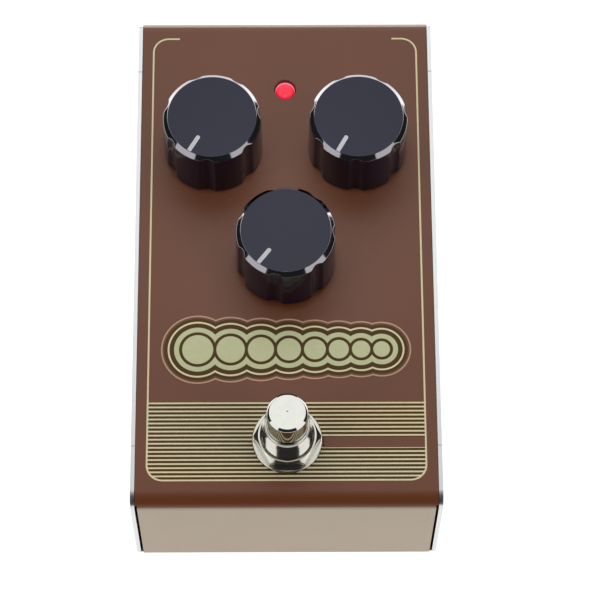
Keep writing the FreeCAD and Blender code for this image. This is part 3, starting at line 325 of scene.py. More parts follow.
def screw_finish():
    """Nickel whose cross recess is painted dark, a painted shade in the driver's slot."""
    finish = Finish("screw_nickel")
    spot, (x, y, z) = finish.place()
    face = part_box("side_screws")[1].x
    # Deeper than about 0.2 mm below the head's face, the recess gets a painted shade.
    outside_recess_shade = finish.step(x.size(), face - 0.35 * MM, face - 0.12 * MM)
    return finish.close(Base_Color=finish.blend(outside_recess_shade, (0.10, 0.095, 0.09, 1), NICKEL), Metallic=1.0,
                        Roughness=finish.noise(spot, 2 * MM) * 0.1 + 0.18)


screw_nickel = screw_finish()
print("metals made")

# %% [markdown]
# What lies inside is seen only when the pedal is opened, but its finishes still follow the real
# parts: green board with a fibre weave, sleeved cans with bare ends, red film boxes, grey ribbon
# with a groove at each wire.

# %% Plastics, rubber and boards
def plastic_finish(name, color, rough, grain=0.4, depth=0.006):
    finish = Finish(name)
    spot = finish.place()[0]
    clouds = finish.noise(spot, 7 * MM)
    grains = finish.noise(spot, grain * MM, 2.0)
    return finish.close(Base_Color=finish.blend(clouds, tint(color, 0.8), color),
                        Roughness=clouds * 0.1 + rough, Normal=finish.bump(grains, depth * MM))


def mat_finish():
    """Grip rubber: rows of small ribs on the underside, and a dusty bloom."""
    finish = Finish("mat_rubber")
    spot, (x, y, z) = finish.place()
    rows = finish.wave(y, 2.4 * MM)
    crumbs = finish.noise(spot, 0.8 * MM, 2.0)
    bloom = finish.blend(finish.noise(spot, 12 * MM), (0.010, 0.010, 0.010, 1), (0.024, 0.023, 0.022, 1))
    return finish.close(Base_Color=bloom, Roughness=crumbs * 0.1 + 0.72,
                        Normal=finish.bump(rows * 0.5 + crumbs * 0.1, 0.2 * MM))


def board_finish():
    """Green solder mask over a fibre weave, with pale tracks in it that keep to a few directions."""
    finish = Finish("board_green")
    spot, (x, y, z) = finish.place()
    weave = finish.wave(x, 0.9 * MM) * finish.wave(y, 0.9 * MM)
    first, second = (finish.put("TexVoronoi", {"Vector": spot, "Scale": 1 / (4 * MM)},
                                {"feature": order, "distance": "CHEBYCHEV"}) for order in ("F1", "F2"))
    track = 1.0 - finish.step(second - first, 0.05, 0.08)
    color = finish.blend(track, (0.008, 0.085, 0.035, 1), (0.03, 0.20, 0.09, 1))
    return finish.close(Base_Color=color, Roughness=0.30, Normal=finish.bump(weave, 0.01 * MM))


def can_finish():
    """A dark sleeve shrunk over an aluminium can whose far end stays bare."""
    finish = Finish("can_sleeve")
    spot, (x, y, z) = finish.place()
    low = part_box("electrolytic_capacitors")[0].z
    bare = 1.0 - finish.step(z, low + 0.1 * MM, low + 0.2 * MM)
    color = finish.blend(bare, (0.012, 0.02, 0.06, 1), (0.7, 0.7, 0.7, 1))
    return finish.close(Base_Color=color, Metallic=bare, Roughness=0.3)


def ribbon_finish():
    """Flat cable: a groove between its wires, and one edge marked red."""
    finish = Finish("ribbon_vinyl")
    spot, (x, y, z) = finish.place()
    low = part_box("ribbon_cable")[0].x
    wires = finish.wave(x - low, 1.27 * MM, "COSINE")
    edge = 1.0 - finish.step(x, low + 1.1 * MM, low + 1.3 * MM)
    return finish.close(Base_Color=finish.blend(edge, (0.34, 0.34, 0.36, 1), (0.5, 0.02, 0.02, 1)),
                        Roughness=0.45, Normal=finish.bump(wires, 0.2 * MM))


black_plastic = plastic_finish("black_plastic", (0.018, 0.018, 0.019, 1), 0.32)
switch_blue = plastic_finish("switch_blue", (0.015, 0.07, 0.24, 1), 0.35)
header_cream = plastic_finish("header_cream", (0.62, 0.58, 0.48, 1), 0.4)
film_red = plastic_finish("film_red", (0.35, 0.03, 0.02, 1), 0.22)
mat_rubber, board_green = mat_finish(), board_finish()
can_sleeve, ribbon_vinyl = can_finish(), ribbon_finish()
print("plastics made")

# %% [markdown]
# Pieces are modelled the way they would be by hand: a primitive is added, opened in edit mode,
# shaped with ordinary operators, and finished with modifiers. A few helpers keep each step short.
# Elements are chosen by where they lie, because there is no mouse here.

# %% Helpers for modelling
def start(kind, name, **sizes):
    """Adds a primitive and opens it in edit mode with all of it selected."""
    if bpy.context.mode != "OBJECT":
        bpy.ops.object.mode_set(mode="OBJECT")
    bpy.ops.object.select_all(action="DESELECT")
    getattr(bpy.ops.mesh, "primitive_%s_add" % kind)(**sizes)
    piece = bpy.context.object
    piece.name = name
    bpy.ops.object.transform_apply(location=True, rotation=True, scale=True)
    bpy.ops.object.mode_set(mode="EDIT")
    bpy.ops.mesh.select_mode(type="VERT")
    bpy.ops.mesh.select_all(action="SELECT")
    return piece


def block(name, size, centre, kind="cube"):
    """A cube, or a plane, stretched to a size and moved to its centre, in edit mode."""
    piece = start(kind, name, size=1)
    bpy.ops.transform.resize(value=size)
    bpy.ops.transform.translate(value=centre)
    return piece


def pick(piece, kind, test):
    """Selects the vertices, edges or faces whose middle passes the test."""
    bpy.ops.mesh.select_mode(type={"verts": "VERT", "edges": "EDGE", "faces": "FACE"}[kind])
    bpy.ops.mesh.select_all(action="DESELECT")
    mesh = bmesh.from_edit_mesh(piece.data)
    for item in getattr(mesh, kind):
        corners = [item] if kind == "verts" else item.verts
        if test(sum((v.co for v in corners), Vector()) / len(corners), item):
            item.select_set(True)
    mesh.select_flush_mode()
    bmesh.update_edit_mesh(piece.data)


def select_all():
    bpy.ops.mesh.select_all(action="SELECT")


def raise_by(height):
    """Extrudes what is selected along Z."""
    bpy.ops.mesh.extrude_region_move(TRANSFORM_OT_translate={"value": (0, 0, height)})


def close_edit(piece):
    """Leaves edit mode with this piece alone selected and active."""
    if bpy.context.mode != "OBJECT":
        bpy.ops.object.mode_set(mode="OBJECT")
    bpy.ops.object.select_all(action="DESELECT")
    piece.select_set(True)
    bpy.context.view_layer.objects.active = piece


def modify(piece, kind, **settings):
    """Adds a modifier and applies it."""
    close_edit(piece)
    modifier = piece.modifiers.new(kind.lower(), kind)
    for name, value in settings.items():
        setattr(modifier, name, value)
    bpy.ops.object.modifier_apply(modifier=modifier.name)


def combine(piece, other, operation="DIFFERENCE"):
    """Cuts, joins or crosses the piece with another, which is used up."""
    close_edit(other)
    modify(piece, "BOOLEAN", object=other, operation=operation, solver="EXACT")
    bpy.data.objects.remove(other, do_unlink=True)


def soften(piece, width, segments=2, angle=35):
    """Rounds the edges that turn by more than the angle."""
    modify(piece, "BEVEL", width=width, segments=segments, limit_method="ANGLE",
           angle_limit=math.radians(angle))


def merge_pieces(name, pieces):
    close_edit(pieces[0])
    for piece in pieces:
        piece.select_set(True)
    bpy.ops.object.join()
    pieces[0].name = name
    return pieces[0]


def copy_of(piece, matrix):
    """A copy with its own mesh, moved by the matrix."""
    twin = piece.copy()
    twin.data = piece.data.copy()
    twin.data.transform(matrix)
    bpy.context.scene.collection.objects.link(twin)
    return twin


def dress(piece, body, material, replaced=(), smooth=32):
    """Shades a finished piece, gives it its finish, and ties it to its CAD body.

    Normals weighted by area keep flats flat between small radii. They are found on a piece grown
    to a size of metres, because the modifier takes areas of square millimetres for nothing.
    """
    close_edit(piece)
    bpy.ops.object.shade_smooth_by_angle(angle=math.radians(smooth))
    piece.data.transform(Matrix.Scale(1 / MM, 4))
    modify(piece, "WEIGHTED_NORMAL", mode="FACE_AREA", keep_sharp=True)
    piece.data.transform(Matrix.Scale(MM, 4))
    piece.data.materials.clear()
    piece.data.materials.append(material)
    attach(piece, body)
    if replaced:
        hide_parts(*replaced)
    print(piece.name, len(piece.data.polygons), "faces")
    return piece


def drum(name, radius, low, high, x, y, sides=96):
    """An upright round bar, as a blank or a cutter."""
    return start("cylinder", name, vertices=sides, radius=radius, depth=high - low,
                 location=(x, y, (low + high) / 2))


def trace(name, outline):
    """A line drawn in edit mode through (radius, height) points."""
    piece = start("plane", name, size=MM)
    bpy.ops.mesh.merge(type="CENTER")
    bpy.ops.transform.translate(value=(outline[0][0], 0, outline[0][1]))
    for last, point in zip(outline, outline[1:]):
        move = (point[0] - last[0], 0, point[1] - last[1])
        bpy.ops.mesh.extrude_vertices_move(TRANSFORM_OT_translate={"value": move})
    select_all()
    return piece


def turned(name, outline, steps=96, ring=False):
    """A piece turned about the Z axis from (radius, height) points, as on a lathe."""
    piece = trace(name, outline + outline[:1] * ring)
    bpy.ops.mesh.spin(steps=steps, angle=math.tau, center=(0, 0, 0), axis=(0, 0, 1))
    select_all()
    bpy.ops.mesh.remove_doubles(threshold=0.0002 * MM)
    bpy.ops.mesh.normals_make_consistent(inside=False)
    close_edit(piece)
    return piece


def move_piece(piece, x, y, z, turn=None):
    """Moves the mesh itself, so that the object stays at the origin."""
    piece.data.transform(Matrix.Translation((x, y, z)) @ (turn or Matrix()))
    return piece


# %% [markdown]
# The top cover is one folded sheet. It starts as a flat plate, its front and rear edges are
# extruded down as walls, and the two folds are bevelled to the bend radius. Solidify gives the
# sheet its thickness, and the holes are cut last.

# %% Top cover
def near(value, target):
    """Whether a coordinate lies on a plane, on either side of the object's middle."""
    return abs(abs(value) - target) < 0.001 * MM


SHEET = 1.2 * MM
WALL = cover_high.z - cover_low.z
KNOB_HOLE, LAMP_HOLE, SWITCH_HOLE, JACK_HOLE, INLET_HOLE, CUT = (
    size * MM for size in (3.65, 2.72, 6.2, 4.85, 5.35, 4.0))
cover = block("cover_sheet", (cover_high.x * 2, cover_high.y * 2, 1), (0, 0, cover_high.z), "plane")
for side in (-1, 1):
    pick(cover, "edges", lambda m, e: m.y * side > cover_high.y - MM)
    raise_by(-WALL)
pick(cover, "edges", lambda m, e: near(m.y, cover_high.y) and near(m.z, cover_high.z))
bpy.ops.mesh.bevel(offset=BEND, segments=16, affect="EDGES")
modify(cover, "SOLIDIFY", thickness=SHEET, offset=-1, use_even_offset=True)

KNOBS = {name: middle(name + "_shaft") for name in ("mix", "repeats", "time")}
LAMP, SWITCH = middle("indicator_lens"), middle("footswitch_bushing")
JACKS = {name: middle(name + "_jack") for name in ("output", "input")}
jack_height = middle("power_inlet").z
cuts = [(spot, KNOB_HOLE) for spot in KNOBS.values()] + [(LAMP, LAMP_HOLE), (SWITCH, SWITCH_HOLE)]
for spot, radius in cuts:
    combine(cover, drum("cutter", radius, cover_high.z - CUT, cover_high.z + CUT, spot.x, spot.y))
LIE_ALONG_Y = Matrix.Rotation(math.radians(-90), 4, "X")
for x, radius in [(spot.x, JACK_HOLE) for spot in JACKS.values()] + [(0, INLET_HOLE)]:
    cutter = drum("cutter", radius, -CUT, CUT, 0, 0)
    close_edit(cutter)
    combine(cover, move_piece(cutter, x, cover_high.y, jack_height, LIE_ALONG_Y))
RELIEF, RELIEF_TOP = 0.5 * MM, cover_high.z - 1.8 * MM
for side in (-1, 1):
    combine(cover, block("cutter", (2 * RELIEF, 2 * CUT, RELIEF_TOP),
                         (side * cover_high.x, cover_low.y, RELIEF_TOP / 2)))
soften(cover, 0.12 * MM)
dress(cover, "case", paint, ["top_cover"], smooth=25)

# %% [markdown]
# The tray is the other half of the case: a floor with two tall side walls whose upper corners are
# rounded to follow the cover. Its sheared upper edges show as thin silver lines beside the paint.

# %% Bottom tray
tray_low, tray_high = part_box("bottom_tray")
TRAY_SHEET, TRAY_BEND = 1.0 * MM, 1.6 * MM
NOTCH_Y, NOTCH_LONG, NOTCH_HIGH = 65.55 * MM, 4 * MM, 2 * MM
NICK_WIDE, NICK_HIGH = 0.16 * MM, 1.3 * MM
SCREW_Y, SCREW_HEIGHT = 50 * MM, middle("side_screws").z
SINK, SINK_HOLE, SINK_DEPTH, OUTSIDE = 2.55 * MM, 1.6 * MM, 0.95 * MM, 40 * MM
tray = block("tray_sheet", (tray_high.x * 2, tray_high.y * 2, 1), (0, 0, tray_low.z), "plane")
bpy.ops.mesh.flip_normals()
for side in (-1, 1):
    pick(tray, "edges", lambda m, e: m.x * side > tray_high.x - MM)
    raise_by(tray_high.z - tray_low.z)
pick(tray, "edges", lambda m, e: near(m.x, tray_high.x) and near(m.z, tray_low.z))
bpy.ops.mesh.bevel(offset=TRAY_BEND, segments=8, affect="EDGES")
pick(tray, "verts", lambda m, v: m.z > tray_high.z - MM)
bpy.ops.mesh.bevel(offset=BEND, segments=16, affect="VERTICES")
modify(tray, "SOLIDIFY", thickness=TRAY_SHEET, offset=-1, use_even_offset=True)
inner = tray_high.x - TRAY_SHEET
one_end = [(SINK_HOLE, tray_high.x - SINK_DEPTH), (SINK, tray_high.x),
           (SINK + OUTSIDE - tray_high.x, OUTSIDE), (0, OUTSIDE)]
sunk = [(radius, -height) for radius, height in reversed(one_end)] + one_end
LIE_ALONG_X = Matrix.Rotation(math.radians(90), 4, "Y")
for side in (-1, 1):
    combine(tray, block("cutter", (inner * 2, NOTCH_LONG, NOTCH_HIGH), (0, side * NOTCH_Y, tray_low.z)))
    combine(tray, block("cutter", (inner * 3, NICK_WIDE, NICK_HIGH),
                        (0, side * SCREW_Y, tray_high.z + 0.35 * MM)))
    hole = turned("cutter", sunk, steps=64)
    combine(tray, move_piece(hole, 0, side * SCREW_Y, SCREW_HEIGHT, LIE_ALONG_X))
soften(tray, 0.14 * MM)
dress(tray, "case", tray_steel, ["bottom_tray"], smooth=25)

# %% [markdown]
# A rubber mat under the floor keeps the pedal in place.

# %% Rubber mat
mat_low, mat_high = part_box("rubber_mat")
mat = block("grip_mat", tuple(mat_high - mat_low), tuple((mat_high + mat_low) / 2))
pick(mat, "edges", lambda m, e: near(m.x, mat_high.x) and near(m.y, mat_high.y))
bpy.ops.mesh.bevel(offset=6 * MM, segments=10, affect="EDGES")
pick(mat, "faces", lambda m, f: f.normal.z < -0.9)
bpy.ops.mesh.bevel(offset=0.5 * MM, segments=3, affect="EDGES")
dress(mat, "case", mat_rubber, ["rubber_mat"])

# %% [markdown]
# The print on the top. The frame is a plate with rounded corners, inset by the line's width and
# emptied, with its upper side opened. The stripes are one bar repeated by an Array and then
# crossed with the same rounded plate, so that they end on the frame's corners. They stop at the
# footswitch's washer, which stands on bare paint. All of it stands 0.03 mm proud, about what a
# thick ink does.

# %% Frame line and stripes
INK, SHADE, LINE = 0.03 * MM, 0.015 * MM, 0.42 * MM
top = cover_high.z
FRAME_X, FRAME_REAR, FRAME_FRONT, FRAME_CORNER = 33.15 * MM, 59.3 * MM, -58.67 * MM, 4 * MM
FRAME_GAP = (-26.6 * MM, 27.0 * MM)
STRIPES, STRIPE_STEP, STRIPE_LINE = 19, 1.023 * MM, 0.41 * MM
PRINT_HOLE = 8.3 * MM


def rounded_plate(name, x, front, rear, corner):
    """A flat plate in edit mode, its corners rounded."""
    piece = block(name, (x * 2, rear - front, 1), (0, (rear + front) / 2, top), "plane")
    bpy.ops.mesh.bevel(offset=corner, segments=14, affect="VERTICES")
    return piece


def clear_print(piece, low, high):
    """Leaves the gap in the stripes bare, between two corners, and the place of the washer."""
    combine(piece, block("cutter", (high[0] - low[0], high[1] - low[1], MM),
                         ((low[0] + high[0]) / 2, (low[1] + high[1]) / 2, top)))
    combine(piece, drum("cutter", PRINT_HOLE, top - MM, top + MM, SWITCH.x, SWITCH.y))


half = LINE / 2
line = rounded_plate("frame_line", FRAME_X + half, FRAME_FRONT - half, FRAME_REAR + half, FRAME_CORNER)
select_all()
bpy.ops.mesh.inset(thickness=LINE)
bpy.ops.mesh.delete(type="FACE")
for end, away in zip(FRAME_GAP, (1, -1)):
    select_all()
    bpy.ops.mesh.bisect(plane_co=(end, 0, 0), plane_no=(away, 0, 0))
pick(line, "faces", lambda m, f: m.y > FRAME_REAR - MM and FRAME_GAP[0] < m.x < FRAME_GAP[1])
bpy.ops.mesh.delete(type="FACE")
select_all()
raise_by(INK)
dress(line, "case", ink_cream)

shade = rounded_plate("stripe_shade", FRAME_X - half, FRAME_FRONT + half, FRAME_REAR, FRAME_CORNER - LINE)
select_all()
bpy.ops.mesh.bisect(plane_co=(0, FRAME_FRONT + STRIPES * STRIPE_STEP, 0), plane_no=(0, 1, 0),
                    clear_outer=True)
select_all()
raise_by(SHADE)
clear_print(shade, (9.0 * MM, -50.45 * MM), (32.9 * MM, -47.85 * MM))
dress(shade, "case", ink_shade)

stripe = block("stripes", (FRAME_X * 2, STRIPE_LINE, INK), (0, FRAME_FRONT + STRIPE_STEP, top + INK / 2))
modify(stripe, "ARRAY", count=STRIPES, use_relative_offset=False, use_constant_offset=True,
       constant_offset_displace=(0, STRIPE_STEP, 0))
mask = rounded_plate("cutter", FRAME_X - half, FRAME_FRONT + half, FRAME_REAR, FRAME_CORNER - LINE)
select_all()
raise_by(MM)
select_all()
bpy.ops.transform.translate(value=(0, 0, -MM / 2))
bpy.ops.mesh.normals_make_consistent(inside=False)
combine(stripe, mask, "INTERSECT")
clear_print(stripe, (8.6 * MM, -50.525 * MM), (33.2 * MM, -47.775 * MM))
dress(stripe, "case", ink_cream)

# %% [markdown]
# The emblem is a plain picture of an echo: a row of discs that fade in size, with contour lines
# that follow them. Each contour is the union of slightly larger discs, less the union of discs
# that are smaller by the line's width.

# %% Echo emblem
EMBLEM_Y, FIRST_DISC, FADE, DISC_GAP, DISCS = -25.4 * MM, 3.75 * MM, 0.915, 0.75 * MM, 8
discs, reach = [], 0.0
for number in range(DISCS):
    radius = FIRST_DISC * FADE ** number
    discs.append((reach + radius, radius))
    reach += radius * 2 + DISC_GAP
shift = (reach - DISC_GAP) / 2


def disc_row(name, grow, thick):
    """The row of discs, each larger by the same amount, joined where they meet."""
    row = None
    for x, radius in discs:
        disc = drum(name, radius + grow, top - thick / 2, top + thick / 2, x - shift, EMBLEM_Y, 80)
        close_edit(disc)
        if row is None:
            row = disc
        else:
            combine(row, disc, "UNION")
    return row


CONTOURS = (("emblem_band", 0.75, 1.95, ink_green), ("emblem_line", 3.05, 3.50, ink_cream),
            ("emblem_outline", 4.75, 5.10, ink_rose))
for name, inside, outside, ink in CONTOURS:
    contour = disc_row(name, outside * MM, 2 * INK)
    combine(contour, disc_row("cutter", inside * MM, 8 * INK))
    dress(contour, "case", ink, smooth=20)
shade = disc_row("emblem_shade", 4.3 * MM, 2 * SHADE)
dress(shade, "case", ink_shade, smooth=20)
fill = disc_row("emblem_discs", 0, 2 * INK)
dress(fill, "case", ink_green, smooth=20)

# %% [markdown]
# A knob is turned first, with its hollow and its hub, and the seven flutes are then pressed into
# it: every point outside the flute's round wall is drawn in to it, along the radius. The two
# surfaces are joined by a smooth minimum, which leaves the small round edge of a moulding.

# %% Knobs
KNOB_GAP, KNOB_TOP = 0.6 * MM, 17.3 * MM
SKIRT, RIM, DISC, KNOB_BEVEL = 12.15 * MM, 11.95 * MM, 10.75 * MM, 1.1 * MM
SKIRT_ROUND, WAIST, CONE_STEPS = 0.3 * MM, 9 * MM, 12
FLUTES, FLUTE_RADIUS, FLUTE_DISTANCE = 7, 3.0 * MM, 14.35 * MM
FLUTE_EDGE, STEPS_PER_FLUTE = 0.18 * MM, 56
CAVITY, CAVITY_TOP, HUB, HUB_LOW, BORE, BORE_TOP = (size * MM for size in (9.5, 14.8, 4.8, 4.6, 3.02, 12.7))
POINTER_ANGLES = {"mix": 239.0, "repeats": 241.0, "time": 232.0}


def arc(centre, radius, first, last, steps):
    """Points of an arc in the (radius, height) plane, between two angles in degrees."""
    turns = [math.radians(first + (last - first) * step / steps) for step in range(steps + 1)]
    return [(centre[0] + radius * math.cos(turn), centre[1] + radius * math.sin(turn))
            for turn in turns]


def flute_wall(angle):
    """How far out the flutes let the knob reach in this direction, counted from a lobe's middle."""
    off = (angle + math.pi / FLUTES) % (math.tau / FLUTES) - math.pi / FLUTES
    off = math.pi / FLUTES - abs(off)
    under = FLUTE_RADIUS ** 2 - (FLUTE_DISTANCE * math.sin(off)) ** 2
    if under <= 0:
        return None
    return FLUTE_DISTANCE * math.cos(off) - math.sqrt(under)


def smaller(a, b):
    """The smaller of two radii, rounded off where they are nearly equal."""
    share = max(FLUTE_EDGE - abs(a - b), 0) / FLUTE_EDGE
    return min(a, b) - share * share * FLUTE_EDGE / 4


cone = [(RIM + (DISC - RIM) * step / CONE_STEPS, KNOB_TOP - KNOB_BEVEL + KNOB_BEVEL * step / CONE_STEPS)
        for step in range(1, CONE_STEPS)]
outline = [(0, BORE_TOP), (BORE, BORE_TOP), (BORE, HUB_LOW), (HUB, HUB_LOW), (HUB, CAVITY_TOP),
           (CAVITY, CAVITY_TOP), (CAVITY, KNOB_GAP), (SKIRT - SKIRT_ROUND, KNOB_GAP),
           *arc((SKIRT - SKIRT_ROUND, KNOB_GAP + SKIRT_ROUND), SKIRT_ROUND, -60, 0, 3),
           (SKIRT - 0.1 * MM, WAIST), (RIM, KNOB_TOP - KNOB_BEVEL - 0.12 * MM), *cone,
           (DISC + 0.06 * MM, KNOB_TOP - 0.02 * MM), (DISC - 0.06 * MM, KNOB_TOP), (0, KNOB_TOP)]
knob = turned("knob", outline, steps=FLUTES * STEPS_PER_FLUTE)
for vertex in knob.data.vertices:
    reach = math.hypot(vertex.co.x, vertex.co.y)
    wall = flute_wall(math.atan2(vertex.co.y, vertex.co.x))
    if wall and reach > CAVITY + 0.1 * MM:
        shrink = smaller(reach, wall) / reach
        vertex.co.x *= shrink
        vertex.co.y *= shrink

POINTER, POINTER_START, POINTER_THICK, POINTER_SUNK = (size * MM for size in (1.05, 6.5, 0.3, 0.12))
pointer = block("pointer", (DISC - POINTER_START + POINTER / 2 - 0.05 * MM, POINTER, POINTER_THICK),
                ((DISC + POINTER_START - POINTER / 2) / 2, 0, KNOB_TOP - POINTER_SUNK))
pick(pointer, "edges", lambda m, e: m.x < POINTER_START and near(m.z, KNOB_TOP - POINTER_SUNK))
bpy.ops.mesh.bevel(offset=0.5 * MM, segments=8, affect="EDGES")
soften(pointer, 0.04 * MM)

for name, spot in KNOBS.items():
    turn = Matrix.Translation((spot.x, spot.y, cover_high.z))
    turn = turn @ Matrix.Rotation(math.radians(POINTER_ANGLES[name]), 4, "Z")
    body = name + "_control"
    own_knob, own_pointer = copy_of(knob, turn), copy_of(pointer, turn)
    own_knob.name, own_pointer.name = name + "_fluted_knob", name + "_pointer_line"
    dress(own_knob, body, knob_plastic, [name + "_knob"], smooth=40)
    dress(own_pointer, body, pointer_white, [name + "_pointer"])
for template in (knob, pointer):
    bpy.data.objects.remove(template, do_unlink=True)

# %% [markdown]
# The footswitch shows four plated pieces: washer, hexagon nut, threaded bushing with a smooth
# cone above its thread, and the button. A nut is a six-sided bar crossed with a turned blank, whose
# cone takes the corners off. The thread is a small ridge wound up the bushing by a Screw modifier.

# %% Footswitch washer and nuts
def hexagon_nut(name, flats, height, bore, chamfer_radius, countersink):
    """A nut standing on the XY plane, with flats facing the Y axis and its bore countersunk."""
    nut = start("cylinder", name, vertices=6, radius=flats / math.sqrt(3), depth=height,
                location=(0, 0, height / 2), rotation=(0, 0, math.radians(30)))
    corner = flats / math.sqrt(3)
    drop = (corner - chamfer_radius) * math.tan(math.radians(30))
    blank = turned("cutter", [(0, 0), (chamfer_radius, 0), (corner, drop), (corner, height - drop),
                              (chamfer_radius, height), (0, height)], steps=120)
    close_edit(nut)
    combine(nut, blank, "INTERSECT")
    combine(nut, turned("cutter", [(0, -MM), (bore, -MM), (bore, height - countersink),
                                   (bore + countersink + MM, height + MM), (0, height + MM)], steps=120))
    soften(nut, 0.12 * MM, 2, 24)
    return nut


panel = cover_high.z
WASHER, WASHER_THICK, THREAD = 8.4 * MM, 0.8 * MM, 6.0 * MM
washer = turned("footswitch_washer_ring", [
    (THREAD + 0.1 * MM, 0), (WASHER - 0.1 * MM, 0), (WASHER, 0.1 * MM),
    *arc((WASHER - 0.3 * MM, WASHER_THICK - 0.3 * MM), 0.3 * MM, 0, 90, 4),
    (THREAD + 0.1 * MM, WASHER_THICK)], steps=160, ring=True)
move_piece(washer, SWITCH.x, SWITCH.y, panel)
dress(washer, "case", warm_chrome, ["footswitch_washer"])
NUT_HEIGHT = 3.1 * MM
nut = hexagon_nut("footswitch_hex_nut", flats=14 * MM, height=NUT_HEIGHT, bore=THREAD + 0.03 * MM,
                  chamfer_radius=6.85 * MM, countersink=0.42 * MM)
move_piece(nut, SWITCH.x, SWITCH.y, panel + WASHER_THICK)
dress(nut, "case", warm_chrome, ["footswitch_nut"], smooth=24)

# %% Footswitch bushing and its thread
def wind(piece, pitch, turns, steps):
    """Winds a closed profile up the Z axis and closes the two ends of the coil."""
    modify(piece, "SCREW", screw_offset=pitch, iterations=turns, steps=steps, render_steps=steps,
           use_merge_vertices=False)
    bpy.ops.object.mode_set(mode="EDIT")
    bpy.ops.mesh.select_all(action="DESELECT")
    bpy.ops.mesh.select_mode(type="EDGE")
    bpy.ops.mesh.select_non_manifold()
    bpy.ops.mesh.edge_face_add()
    select_all()
    bpy.ops.mesh.normals_make_consistent(inside=False)
    close_edit(piece)


foot_low, bush_high = (corner.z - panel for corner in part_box("footswitch_bushing"))
SHOULDER, NECK, BUTTON_BORE, STEM_BORE = 9.6 * MM, 5.3 * MM, 4.93 * MM, 2.58 * MM
FOOT, BORE_FLOOR, NECK_ROUND = 7 * MM, -2.8 * MM, 0.25 * MM
THREAD_TOP, PITCH, RIDGE = 8.9 * MM, 0.75 * MM, 0.40 * MM
root = THREAD - RIDGE
bushing = turned("footswitch_bushing_turned", [
    (STEM_BORE, foot_low), (FOOT, foot_low), (FOOT, foot_low + MM), (root, foot_low + MM),
    (root, THREAD_TOP), (THREAD - 0.12 * MM, THREAD_TOP), (THREAD - 0.1 * MM, THREAD_TOP + 0.15 * MM),
    (NECK, SHOULDER + 0.1 * MM),
    *arc((NECK - NECK_ROUND, bush_high - NECK_ROUND), NECK_ROUND, 0, 90, 4),
    (BUTTON_BORE, bush_high), (BUTTON_BORE, BORE_FLOOR), (STEM_BORE, BORE_FLOOR)], steps=160, ring=True)
sunk_root = root - 0.05 * MM
ridge = trace("thread", [(sunk_root, 0), (THREAD, PITCH / 2), (sunk_root, PITCH), (sunk_root, 0)])
bpy.ops.mesh.remove_doubles(threshold=0.001 * MM)
turns = int((THREAD_TOP - NUT_HEIGHT) / PITCH) + 2
wind(ridge, PITCH, turns, 96)
move_piece(ridge, 0, 0, THREAD_TOP - (turns + 1) * PITCH)
bushing = merge_pieces("footswitch_bushing_turned", [bushing, ridge])
move_piece(bushing, SWITCH.x, SWITCH.y, panel)
dress(bushing, "case", warm_chrome, ["footswitch_bushing"])

# %% Footswitch button
button_low, button_high = (corner.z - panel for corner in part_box("footswitch_button"))
BUTTON, BUTTON_FLAT, CHAMFER, BUTTON_BASE, STEM = (size * MM for size in (4.85, 4.3, 0.55, 6.2, 2.5))
button = turned("footswitch_button_cap", [
    (0, button_low), (STEM, button_low), (STEM, BUTTON_BASE), (BUTTON - 0.2 * MM, BUTTON_BASE),
    (BUTTON, BUTTON_BASE + 0.2 * MM), (BUTTON, button_high - CHAMFER - 0.1 * MM),
    (BUTTON - 0.05 * MM, button_high - CHAMFER + 0.05 * MM),
    (BUTTON_FLAT + 0.1 * MM, button_high - 0.1 * MM), (BUTTON_FLAT - 0.05 * MM, button_high),
    (BUTTON_FLAT - 0.2 * MM, button_high), (0.6 * MM, button_high), (0.4 * MM, button_high),
    (0.2 * MM, button_high - 0.012 * MM), (0, button_high - 0.02 * MM)], steps=160)
move_piece(button, SWITCH.x, SWITCH.y, panel)
dress(button, "footswitch", chrome, ["footswitch_button"])

# %% [markdown]
# The return spring stands round the button's stem. A round wire is wound up from the bushing's
# floor.

# %% Return spring
spring_low, spring_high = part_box("footswitch_spring")
COIL, COIL_TURNS, TRAVEL = 3.7 * MM, 4, 2.5 * MM
spring_height = spring_high.z - spring_low.z
wire = (spring_high.x - spring_low.x) / 2 - COIL
spring = start("circle", "return_spring", vertices=16, radius=wire,
               location=(COIL, 0, spring_low.z + wire), rotation=(math.radians(90), 0, 0))
wind(spring, (spring_height - 2 * wire) / COIL_TURNS, COIL_TURNS, 48)
dress(move_piece(spring, SWITCH.x, SWITCH.y, 0), "case", zinc, ["footswitch_spring"])
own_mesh(spring)
print("spring wire radius and height in mm:", round(wire / MM, 2), round(spring_height / MM, 2))

# %% [markdown]
# The lamp sits just under the edge of its hole: a red lens with a shallow dome.

# %% Indicator lamp
lens_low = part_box("indicator_lens")[0].z - panel
LENS, LENS_FLANGE = 2.45 * MM, 2.9 * MM
DOME_EDGE, DOME_TOP = -1.05 * MM, -0.25 * MM
dome = [(LENS * math.cos(turn), DOME_EDGE + (DOME_TOP - DOME_EDGE) * math.sin(turn))
        for turn in (math.radians(10 * step) for step in range(9))]
lamp = turned("indicator_lamp", [(0, lens_low), (LENS_FLANGE, lens_low), (LENS_FLANGE, lens_low + MM),
                                 (LENS, lens_low + MM), *dome, (0, DOME_TOP)], steps=96)
dress(move_piece(lamp, LAMP.x, LAMP.y, panel), "case", lamp_red, ["indicator_lens"])

# %% [markdown]
# The screws that hold the two shells together. Each is turned with a countersunk head that lies
# flush in the tray's wall, gets a cross recess, and is copied to four places.

